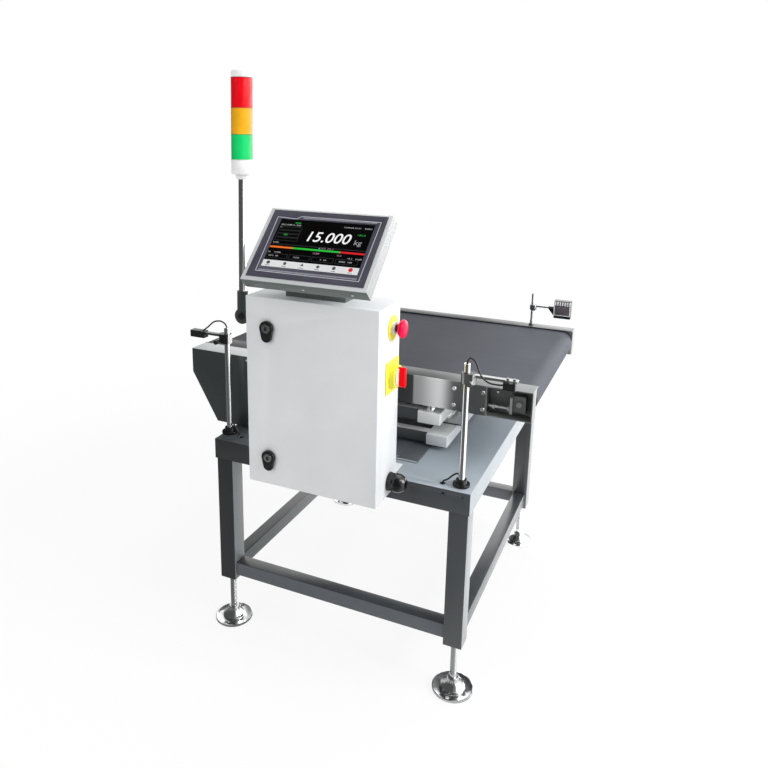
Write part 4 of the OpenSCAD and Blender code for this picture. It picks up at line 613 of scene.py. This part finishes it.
for name in ("lock_upper", "lock_lower"):
    lock = eased(name, 0.0006, 2)
    dress(lock, lock_chrome)
    low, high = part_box(name)
    hub = Vector((high.x - 0.010, low.y, (low.z + high.z) / 2))
    paint_where(lock, lock_black, lambda c, n: c.y > hub.y + 0.0006 and math.hypot(c.x - hub.x, c.z - hub.z) < 0.0062)
    side = body_holding(name)
    moulded_bar(name + "_bit", (hub.x - 0.0031, hub.y + 0.0012, hub.z - 0.0010),
                (hub.x + 0.0031, hub.y + 0.0046, hub.z + 0.0010), 0.0004, lock_chrome, side)

# Inside the cabinet: a galvanised mounting plate with its rails, and the devices.
galvanised = metal("galvanised_sheet", (0.62, 0.64, 0.63), stretch=(40.0, 40.0, 40.0), rough=0.42, contrast=0.3,
                   metallic=0.5)
dress(frame["nodes"]["gear_plate"], galvanised)
device_black = moulded("device_black", (0.035, 0.037, 0.040), 0.45)
supply_alloy = metal("supply_alloy", (0.42, 0.43, 0.43), stretch=(6.0, 6.0, 300.0), rough=0.4, metallic=0.3)
breaker_white = moulded("breaker_white", (0.66, 0.66, 0.63), 0.45)
terminal_beige = moulded("terminal_beige", (0.42, 0.40, 0.32), 0.5)
cabinet_devices = eased("cabinet_devices", 0.0006, 2)
dress(cabinet_devices, device_black)
low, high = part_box("cabinet_devices")
between_rows = (low.z + high.z) / 2
paint_where(cabinet_devices, supply_alloy, lambda c, n: c.z > between_rows and c.x < low.x + 0.061)
paint_where(cabinet_devices, breaker_white, lambda c, n: c.z < between_rows and c.x < low.x + 0.045)
paint_where(cabinet_devices, terminal_beige, lambda c, n: c.z < between_rows and c.x > low.x + 0.045)

# Cable gland: black nylon dome nut and hexagon body.
gland_nylon = moulded("gland_nylon", (0.006, 0.0065, 0.0065), 0.16, 1200.0, 0.000006)
cable_gland = eased("cable_gland", 0.0007, 2, 25)
dress(cable_gland, gland_nylon)

# Main switch: a yellow plate with a raised ring and a red turning handle.
switch_yellow = moulded("switch_yellow", (0.86, 0.80, 0.06), 0.4, Specular_IOR_Level=0.3)
switch_plate = eased("switch_plate", 0.0010, 3)
dress(switch_plate, switch_yellow)
wall_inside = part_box("cabinet_shell")[1][0] - 0.0010
paint_where(switch_plate, device_black, lambda c, n: c.x < wall_inside)
switch_red = moulded("switch_red", (0.95, 0.001, 0.006), 0.35, Specular_IOR_Level=0.1)
switch_handle = eased("switch_handle", 0.0014, 3)
dress(switch_handle, switch_red)
rim_cream = moulded("rim_cream", (0.82, 0.80, 0.62), 0.35)
handle_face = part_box("switch_handle")[1][0]
paint_where(switch_handle, rim_cream, lambda c, n: handle_face - 0.0165 < c.x < handle_face - 0.0127)

# Emergency stop: a yellow disc, a white collar and a red mushroom head.
stop_base = eased("stop_base", 0.0008, 2)
dress(stop_base, switch_yellow)
collar_white = moulded("collar_white", (0.72, 0.72, 0.73), 0.35)
disc_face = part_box("cabinet_shell")[1][0] + 0.0022
paint_where(stop_base, collar_white, lambda c, n: c.x > disc_face)
paint_where(stop_base, device_black, lambda c, n: c.x < wall_inside)
stop_red = moulded("stop_red", (0.84, 0.002, 0.06), 0.24, 1200.0, 0.00001, Specular_IOR_Level=0.16)
stop_button = eased("stop_button", 0.0006, 2, 50)
dress(stop_button, stop_red)
head_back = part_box("stop_button")[1][0] - 0.0173
paint_where(stop_button, lock_black, lambda c, n: c.x < head_back - 0.0001)

# Display: a bent sheet neck on the cabinet and a sheet housing leaned back, both powder coated light grey. The neck
# is painted dark all over as painted shade.
housing_grey = coat("housing_grey_coat", (0.52, 0.54, 0.54), 0.5, Specular_IOR_Level=0.3)
display_neck = eased("display_neck", 0.0006, 2)
neck_shade = coat("neck_shade_coat", (0.10, 0.118, 0.108), 0.5)
dress(display_neck, neck_shade)
display_housing = eased("display_housing", 0.0009, 2)
dress(display_housing, housing_grey)
# Painted shade: the housing's underside and its right side take darker copies of its paint.
housing_low_shade = coat("housing_low_coat", (0.115, 0.135, 0.128), 0.4)
housing_right_shade = coat("housing_right_coat", (0.40, 0.41, 0.415), 0.5, Specular_IOR_Level=0.3)
paint_where(display_housing, housing_right_shade, lambda c, n: n.x > 0.9)
paint_where(display_housing, housing_low_shade, lambda c, n: n.z < -0.5 and n.y < -0.5)

# Front panel: a printed film in dark violet grey with a fine light outline, and the
# screen's glass behind it.
bezel_violet = moulded("bezel_violet", (0.052, 0.051, 0.074), 0.38, 600.0)
display_bezel = eased("display_bezel", 0.0003, 1)
dress(display_bezel, bezel_violet)
screen_black = moulded("screen_black", (0.0008, 0.0008, 0.001), 0.4, 1500.0, 0.000005, Specular_IOR_Level=0.04)
dress(frame["nodes"]["touch_screen"], screen_black)

# Picture on the glass: a large weight, a coloured range bar, a white tool bar with icons
# and rows of small marks, lit from behind. Each mark is a thin plate on the panel.
panel = Matrix.Translation((0.032, -0.4835, 0.985)) @ Matrix.Rotation(math.radians(45.5), 4, "X")
glass_front = 0.00066
film_front = 0.00122


def lit(name, colour, strength=1.0):
    material, tree, surface = finish_of(name, Roughness=0.4, Specular_IOR_Level=0.1, Emission_Strength=strength)
    spot = link_in(tree, "ShaderNodeTexCoord").outputs["Object"]
    cloud = link_in(tree, "ShaderNodeTexNoise", {"Vector": spot, "Scale": 60.0, "Detail": 2.0})
    tone = link_in(tree, "ShaderNodeMapRange", {"Value": cloud.outputs["Fac"], "To Min": 0.88, "To Max": 1.06})
    tint = link_in(tree, "ShaderNodeVectorMath", {0: colour, "Scale": tone.outputs[0]}, operation="SCALE")
    tree.links.new(tint.outputs[0], surface.inputs["Emission Color"])
    surface.inputs["Base Color"].default_value = (0.01, 0.01, 0.01, 1)
    return material


def thicken(piece, depth=0.0001):
    alone(piece)
    bpy.ops.object.mode_set(mode="EDIT")
    bpy.ops.mesh.select_all(action="SELECT")
    bpy.ops.mesh.extrude_region_move(TRANSFORM_OT_translate={"value": (0, 0, depth)})
    bpy.ops.mesh.select_all(action="SELECT")
    bpy.ops.mesh.normals_make_consistent(inside=False)
    bpy.ops.object.mode_set(mode="OBJECT")
    return piece


def patch(a0, a1, b0, b1):
    bpy.ops.object.select_all(action="DESELECT")
    bpy.ops.mesh.primitive_plane_add(size=1, location=((a0 + a1) / 2000, (b0 + b1) / 2000, 0))
    piece = bpy.context.active_object
    piece.scale = ((a1 - a0) / 1000, (b1 - b0) / 1000, 1)
    bpy.ops.object.transform_apply(location=True, rotation=True, scale=True)
    return thicken(piece)


def outline(a0, a1, b0, b1, wide=0.6):
    return [patch(a0, a1, b0, b0 + wide), patch(a0, a1, b1 - wide, b1),
            patch(a0, a0 + wide, b0 + wide, b1 - wide), patch(a1 - wide, a1, b0 + wide, b1 - wide)]


def icon(a, b, sides, radius=4.4):
    bpy.ops.object.select_all(action="DESELECT")
    bpy.ops.mesh.primitive_circle_add(vertices=sides, radius=radius / 1000, fill_type="NGON",
                                      location=(a / 1000, b / 1000, 0))
    bpy.ops.object.transform_apply(location=True, rotation=True, scale=True)
    return thicken(bpy.context.active_object)


def figures(words, a0, a1, b0, b1, slant=0.0, weight=0.0):
    bpy.ops.object.select_all(action="DESELECT")
    bpy.ops.object.text_add()
    piece = bpy.context.active_object
    piece.data.body = words
    piece.data.shear = slant
    piece.data.offset = weight
    piece.data.resolution_u = 4
    bpy.ops.object.convert(target="MESH")
    low = [min(v.co[k] for v in piece.data.vertices) for k in (0, 1)]
    high = [max(v.co[k] for v in piece.data.vertices) for k in (0, 1)]
    grow = Matrix.Diagonal(((a1 - a0) / 1000 / (high[0] - low[0]), (b1 - b0) / 1000 / (high[1] - low[1]), 1, 1))
    piece.data.transform(Matrix.Translation((a0 / 1000, b0 / 1000, 0)) @ grow
                         @ Matrix.Translation((-low[0], -low[1], 0)))
    return thicken(piece)


def on_panel(name, pieces, material, rise):
    bpy.ops.object.select_all(action="DESELECT")
    for piece in pieces:
        piece.select_set(True)
    bpy.context.view_layer.objects.active = pieces[0]
    if len(pieces) > 1:
        bpy.ops.object.join()
    piece = bpy.context.active_object
    piece.name = name
    piece.data.transform(panel @ Matrix.Translation((0, 0, rise)))
    dress(piece, material)
    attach(piece, "stand")
    return piece


on_panel("screen_weight", [figures("15.000", -28.5, 71, 109, 135, 0.16, 0.006)], lit("lit_white", (0.95, 0.95, 0.95)),
         glass_front)
on_panel("screen_unit", [figures("kg", 81, 98, 105.5, 121, 0.05)], lit("lit_grey", (0.34, 0.34, 0.35)),
         glass_front)
marks = [figures(*mark) for mark in (
    ("0012 15.000", -104, -78, 146.5, 150), ("1.20", -74, -56, 146.5, 150), ("01", -104, -100, 140, 143),
    ("12:00:00 01.01", 46, 84, 150.5, 153.5), ("0001", 93, 109, 150.5, 153.5), ("1", -105, -104, 99, 102),
    ("0.000", -102, -92, 99, 102), ("0.0", -107, -102, 73.5, 76.5), ("14.900", -92, -77, 73.5, 76.5),
    ("15.1", 80, 89, 73.5, 76.5), ("15.200", 97, 111, 73.5, 76.5), ("0015", -103, -91, 64, 67), ("00", -86, -80, 64, 67),
    ("0.012", -43, -29, 64, 67), ("0", 20, 22, 64, 67), ("10", 28, 34, 64, 67), ("0000", 63, 77, 64, 67),
    ("100", 83, 92, 64, 67))]
on_panel("screen_small_figures", marks, lit("lit_soft_white", (0.50, 0.50, 0.50)), glass_front)
on_panel("screen_green_figures", [figures("100.0", 83, 100, 132.5, 136.5), figures("00", -88, -79, 119.5, 124.5),
                                  patch(-72, -58, 153.5, 155.5)], lit("lit_green", (0.01, 0.42, 0.05)),
         glass_front)
frames = []
for b in (106, 115.5, 125, 134.5):
    frames += outline(-105, -51, b, b + 8, 0.5)
for a in (-108, -54, 0, 55):
    frames += outline(a, a + 50, 59.5, 71.5)
frames.append(patch(-110, 112, 95.5, 96.3))
on_panel("screen_boxes", frames, lit("lit_dark_grey", (0.045, 0.045, 0.05)), glass_front)
for name, a0, a1, colour in (("orange", -108.7, -53, (0.87, 0.16, 0.012)), ("green", -53, 57.9, (0.012, 0.53, 0.035)),
                             ("red", 57.9, 112.7, (0.70, 0.006, 0.012))):
    on_panel("screen_bar_" + name, [patch(a0, a1, 86.2, 90.6)], lit("lit_bar_" + name, colour), glass_front)
on_panel("screen_pink_marks", [figures("14.9", 12, 22, 92, 95.5), figures("15.1", 28, 40, 92, 95.5),
                               figures("15.000", -2, 13, 78, 82), figures("15.2", 54, 64, 78, 82)],
         lit("lit_pink", (0.45, 0.24, 0.36)), glass_front)
on_panel("screen_pointer", [icon(8.4, 93, 3, 2.4)], lit("lit_cyan", (0.10, 0.50, 0.70)), glass_front)
on_panel("screen_tool_bar", [patch(-109.6, 113, 37.5, 54.2)], lit("lit_tool_bar", (0.74, 0.74, 0.75)), glass_front)
icons = [icon(a, b, sides) for a, b, sides in ((-95.8, 47.6, 8), (-56, 48, 5), (-15.3, 48.2, 3), (21.6, 47.6, 4),
                                               (58, 48, 6))]
icons += [patch(a - 5, a + 5, 40, 41.3) for a in (-95.8, -56, -15.3, 21.6, 58, 95.3)]
on_panel("screen_icons", icons, lit("lit_icon_grey", (0.07, 0.07, 0.08)), glass_front + 0.00012)
on_panel("screen_stop_icon", [icon(95.3, 48, 12, 5.0)], lit("lit_icon_red", (0.62, 0.01, 0.03)),
         glass_front + 0.00012)

# Printed outline of the panel: a fine light line with one notch, and slanted strokes inside its long sides. The print
# has a faint painted glow of its own.
line_points = [(-120.3, 167.4), (-73.5, 164.6), (-63.1, 172.1), (123.9, 170.7), (121.4, 22.7), (-117.0, 24.3)]
strips = []
for (a0, b0), (a1, b1) in zip(line_points, line_points[1:] + line_points[:1]):
    length = math.hypot(a1 - a0, b1 - b0)
    strip = patch(0, length + 0.5, -0.7, 0.7)
    strip.data.transform(Matrix.Translation((a0 / 1000, b0 / 1000, 0))
                         @ Matrix.Rotation(math.atan2(b1 - b0, a1 - a0), 4, "Z"))
    strips.append(strip)
on_panel("bezel_outline", strips, lit("film_line_glow", (0.56, 0.56, 0.62)), film_front)
strokes = []
for a0, a1, b in ((-58, 116, 166.6), (-112, 116, 26.2)):
    stroke = patch(0, 1.5, 0, 3.0)
    stroke.data.transform(Matrix.Translation((a0 / 1000, b / 1000, 0)))
    alone(stroke)
    row = stroke.modifiers.new("row", "ARRAY")
    row.count = int((a1 - a0) / 3.4)
    row.use_relative_offset = False
    row.use_constant_offset = True
    row.constant_offset_displace = (0.0034, 0, 0)
    bpy.ops.object.modifier_apply(modifier=row.name)
    for v in stroke.data.vertices:
        v.co.x += (v.co.y - b / 1000) * 0.7
    strokes.append(stroke)
on_panel("bezel_strokes", strokes, lit("film_stroke_glow", (0.50, 0.49, 0.56)), film_front)

# Signal tower: cast fold joint, bright pole, white base, three lenses and a cap.
joint_grey = coat("joint_grey_coat", (0.035, 0.045, 0.042), 0.35, 400.0, bump=0.00008)
tower_bracket = eased("tower_bracket", 0.0008, 2)
dress(tower_bracket, joint_grey)
pin_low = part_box("tower_bracket")[0]
pin_black = moulded("pin_black", (0.010, 0.010, 0.010), 0.3)
paint_where(tower_bracket, pin_black, lambda c, n: c.y < pin_low.y + 0.0145)
pole_bright = metal("pole_bright", (0.70, 0.71, 0.72), stretch=(90.0, 90.0, 5.0), rough=0.14, contrast=0.04, bump=0.000004)
tower_pole = eased("tower_pole", 0.0006, 2)
dress(tower_pole, pole_bright)
joint_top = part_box("tower_bracket")[1][2] - 0.016
paint_where(tower_pole, joint_grey, lambda c, n: c.z < joint_top + 0.060)
lamp_white = moulded("lamp_white", (0.80, 0.80, 0.80), 0.4)
for name in ("lamp_base", "lamp_cap"):
    dress(eased(name, 0.0008, 2), lamp_white)
lens_middle = (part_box("lamp_amber")[0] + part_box("lamp_amber")[1]) / 2
for name, colour in (("lamp_green", (0.006, 0.62, 0.15)), ("lamp_amber", (0.86, 0.42, 0.012)),
                     ("lamp_red", (0.78, 0.0005, 0.008))):
    lens = moulded(name + "_lens", colour, 0.16, 1500.0, 0.00001, Specular_IOR_Level=0.25)
    tree = lens.node_tree
    surface = tree.nodes["Principled BSDF"]
    # Painted shade: each lens's colour deepens to 0.35 of its tone towards its outline as seen.
    edge_on = link_in(tree, "ShaderNodeLayerWeight", {"Blend": 0.35})
    edge_shade = link_in(tree, "ShaderNodeMix", {"Factor": edge_on.outputs["Facing"]}, data_type="RGBA")
    tree.links.new(surface.inputs["Base Color"].links[0].from_socket, edge_shade.inputs["A"])
    edge_shade.inputs["B"].default_value = (*(k * 0.35 for k in colour), 1)
    tree.links.new(edge_shade.outputs["Result"], surface.inputs["Base Color"])
    spot = link_in(tree, "ShaderNodeTexCoord").outputs["Object"]
    off_axis = link_in(tree, "ShaderNodeVectorMath", {0: spot, 1: tuple(lens_middle)}, operation="SUBTRACT")
    parts = link_in(tree, "ShaderNodeSeparateXYZ", {0: off_axis.outputs[0]})
    bearing = link_in(tree, "ShaderNodeMath", {0: parts.outputs["Y"], 1: parts.outputs["X"]}, operation="ARCTAN2")
    rib_turn = link_in(tree, "ShaderNodeMath", {0: bearing.outputs[0], 1: 60.0}, operation="MULTIPLY")
    rib_wave = link_in(tree, "ShaderNodeMath", {0: rib_turn.outputs[0]}, operation="SINE")
    ribs = link_in(tree, "ShaderNodeBump", {"Height": rib_wave.outputs[0], "Strength": 0.5, "Distance": 0.0002})
    tree.links.new(surface.inputs["Normal"].links[0].from_socket, ribs.inputs["Normal"])
    tree.links.new(ribs.outputs[0], surface.inputs["Normal"])
    dress(eased(name, 0.0005, 1), lens)

# Seams of the lamp stack: a moulded bead covers each joint between its sections.
for name, below, colour in (("seam_low", "lamp_base", (0.55, 0.56, 0.56)), ("seam_green", "lamp_green", (0.10, 0.22, 0.05)),
                            ("seam_amber", "lamp_amber", (0.30, 0.06, 0.01)), ("seam_red", "lamp_red", (0.20, 0.01, 0.01))):
    low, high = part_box(below)
    level = high.z if below != "lamp_base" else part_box("lamp_green")[0].z + 0.0004
    lean = (level - lens_middle.z) * math.tan(math.radians(1.3))
    bpy.ops.object.select_all(action="DESELECT")
    bpy.ops.mesh.primitive_torus_add(major_radius=0.0225, minor_radius=0.0006, major_segments=72, minor_segments=10,
                                     location=(lens_middle.x + lean, lens_middle.y, level - 0.0005))
    bead = bpy.context.active_object
    bead.name = name
    bead.scale = (1, 1, 1.4)
    bpy.ops.object.transform_apply(location=True, rotation=True, scale=True)
    bpy.ops.object.shade_smooth()
    dress(bead, moulded(name + "_plastic", colour, 0.3))
    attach(bead, "tower")

# Sensor posts: bright steel tubes on turned flanges. The far post takes a darker, duller copy of the steel as painted
# shade.
post_bright = metal("post_bright", (0.78, 0.79, 0.80), stretch=(90.0, 90.0, 5.0), rough=0.14, contrast=0.04, bump=0.000004)
flange_black = moulded("flange_black", (0.008, 0.008, 0.008), 0.2)
post_shaded = metal("post_shaded", (0.34, 0.34, 0.36), stretch=(90.0, 90.0, 5.0), rough=0.3)
for name in ("post_right", "post_left", "post_far"):
    post = eased(name, 0.0005, 2)
    dress(post, post_shaded if name == "post_far" else post_bright)
    foot_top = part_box(name)[0][2] + 0.0168
    if name != "post_far":
        paint_where(post, flange_black, lambda c, n: c.z < foot_top)

# Sensors: black heads on steel arms, and a square reflector.
sensor_black = moulded("sensor_black", (0.010, 0.010, 0.011), 0.35)
arm_bright = metal("arm_bright", (0.33, 0.34, 0.335), stretch=(5.0, 200.0, 200.0), rough=0.34)
arm_grey = metal("arm_grey", (0.24, 0.25, 0.25), stretch=(5.0, 200.0, 200.0), rough=0.36)
knob_white = moulded("knob_white", (0.80, 0.80, 0.79), 0.4)


def from_post(post, c):
    low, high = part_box(post)
    return Vector((c.x - (low.x + high.x) / 2, c.y - (low.y + high.y) / 2, c.z - high.z))


sensor_right = eased("sensor_right", 0.0003, 1)
dress(sensor_right, sensor_black)


def right_bright(c, n):
    d = from_post("post_right", c)
    if d.x < 0.0225:
        return d.z < 0.0 and (d.x - 0.004) ** 2 + d.y ** 2 > 0.0001
    return -0.0285 < d.z < -0.0215 and abs(d.y) < 0.0093 or d.x > 0.04 and d.z > -0.0215 and abs(n.z) > 0.9


paint_where(sensor_right, arm_bright, right_bright)
sensor_left = eased("sensor_left", 0.0003, 1)
dress(sensor_left, sensor_black)
paint_where(sensor_left, arm_grey, lambda c, n: -0.046 < from_post("post_left", c).x < -0.0225
            and -0.0245 < from_post("post_left", c).z < -0.0175)
paint_where(sensor_left, knob_white, lambda c, n: from_post("post_left", c).x > 0.0082
            and from_post("post_left", c).z < 0.0)
reflector = eased("reflector", 0.0003, 1)
dress(reflector, sensor_black)
paint_where(reflector, arm_grey, lambda c, n: from_post("post_far", c).x < 0.05)

# Reflector window: clear ribbed plastic over a mauve grid of corner cubes, held by a light
# frame, under a hood with upright ribs.
window_low, window_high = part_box("reflector")
window_front = window_low.y
head_left = window_high.x - 0.0495
frame_light = moulded("frame_light", (0.68, 0.68, 0.69), 0.35)
hood_grey = moulded("hood_grey", (0.30, 0.30, 0.31), 0.4)
paint_where(reflector, hood_grey, lambda c, n: n.y < -0.9 and c.x > head_left and c.z > window_high.z - 0.0150)
prism_mauve, tree, surface = finish_of("prism_mauve", Roughness=0.3)
spot = link_in(tree, "ShaderNodeTexCoord").outputs["Object"]
cells = link_in(tree, "ShaderNodeTexVoronoi", {"Vector": spot, "Scale": 260.0})
cloud = link_in(tree, "ShaderNodeTexNoise", {"Vector": spot, "Scale": 60.0, "Detail": 2.0})
hue = link_in(tree, "ShaderNodeMix", {"Factor": cloud.outputs["Fac"]}, data_type="RGBA")
hue.inputs["A"].default_value = (0.058, 0.058, 0.062, 1)
hue.inputs["B"].default_value = (0.135, 0.10, 0.125, 1)
tree.links.new(hue.outputs["Result"], surface.inputs["Base Color"])
raised = link_in(tree, "ShaderNodeBump", {"Height": cells.outputs["Distance"], "Strength": 0.5, "Distance": 0.0005})
tree.links.new(raised.outputs[0], surface.inputs["Normal"])


w0, w1 = head_left + 0.0032, window_high.x - 0.0032
z0, z1 = window_low.z + 0.0132, window_high.z - 0.0142
moulded_bar("reflector_prisms", (w0 + 0.0002, window_front + 0.0012, z0), (w1 - 0.0002, window_front + 0.0029, z1),
            0.0003, prism_mauve, "far_reflector")
rib = moulded_bar("reflector_rib_1", (head_left + 0.0018, window_front + 0.0001, z1 + 0.0012),
                  (head_left + 0.0066, window_front + 0.0024, window_high.z - 0.0010), 0.0004, frame_light,
                  "far_reflector")
for k in range(1, 7):
    copy = rib.copy()
    copy.data = rib.data.copy()
    copy.data.transform(Matrix.Translation((k * 0.0072, 0, 0)))
    copy.name = "reflector_rib_" + str(k + 1)
    scene.collection.objects.link(copy)
for name, low, high in (
        ("left", (head_left + 0.0002, window_front + 0.0001, z0 - 0.001), (w0 - 0.0002, window_front + 0.0020, z1)),
        ("right", (w1 + 0.0002, window_front + 0.0001, z0 - 0.001), (window_high.x - 0.0002, window_front + 0.0020, z1)),
        ("low", (head_left + 0.0002, window_front + 0.0001, z0 - 0.0034), (window_high.x - 0.0002,
                                                                          window_front + 0.0020, z0 - 0.0012))):
    moulded_bar("reflector_frame_" + name, low, high, 0.0004, frame_light, "far_reflector")

# Sensor leads: black jacketed cable from each front post down through the cover.
lead_black = moulded("lead_black", (0.012, 0.012, 0.012), 0.45)
dress(frame["nodes"]["sensor_leads"], lead_black)

# Fasteners: zinc-plated hexagon bolts and small screws.
bright_zinc = metal("bright_zinc", (0.78, 0.79, 0.80), stretch=(80.0, 80.0, 80.0), rough=0.24)
fasteners = eased("fasteners", 0.0004, 1)
dress(fasteners, bright_zinc)
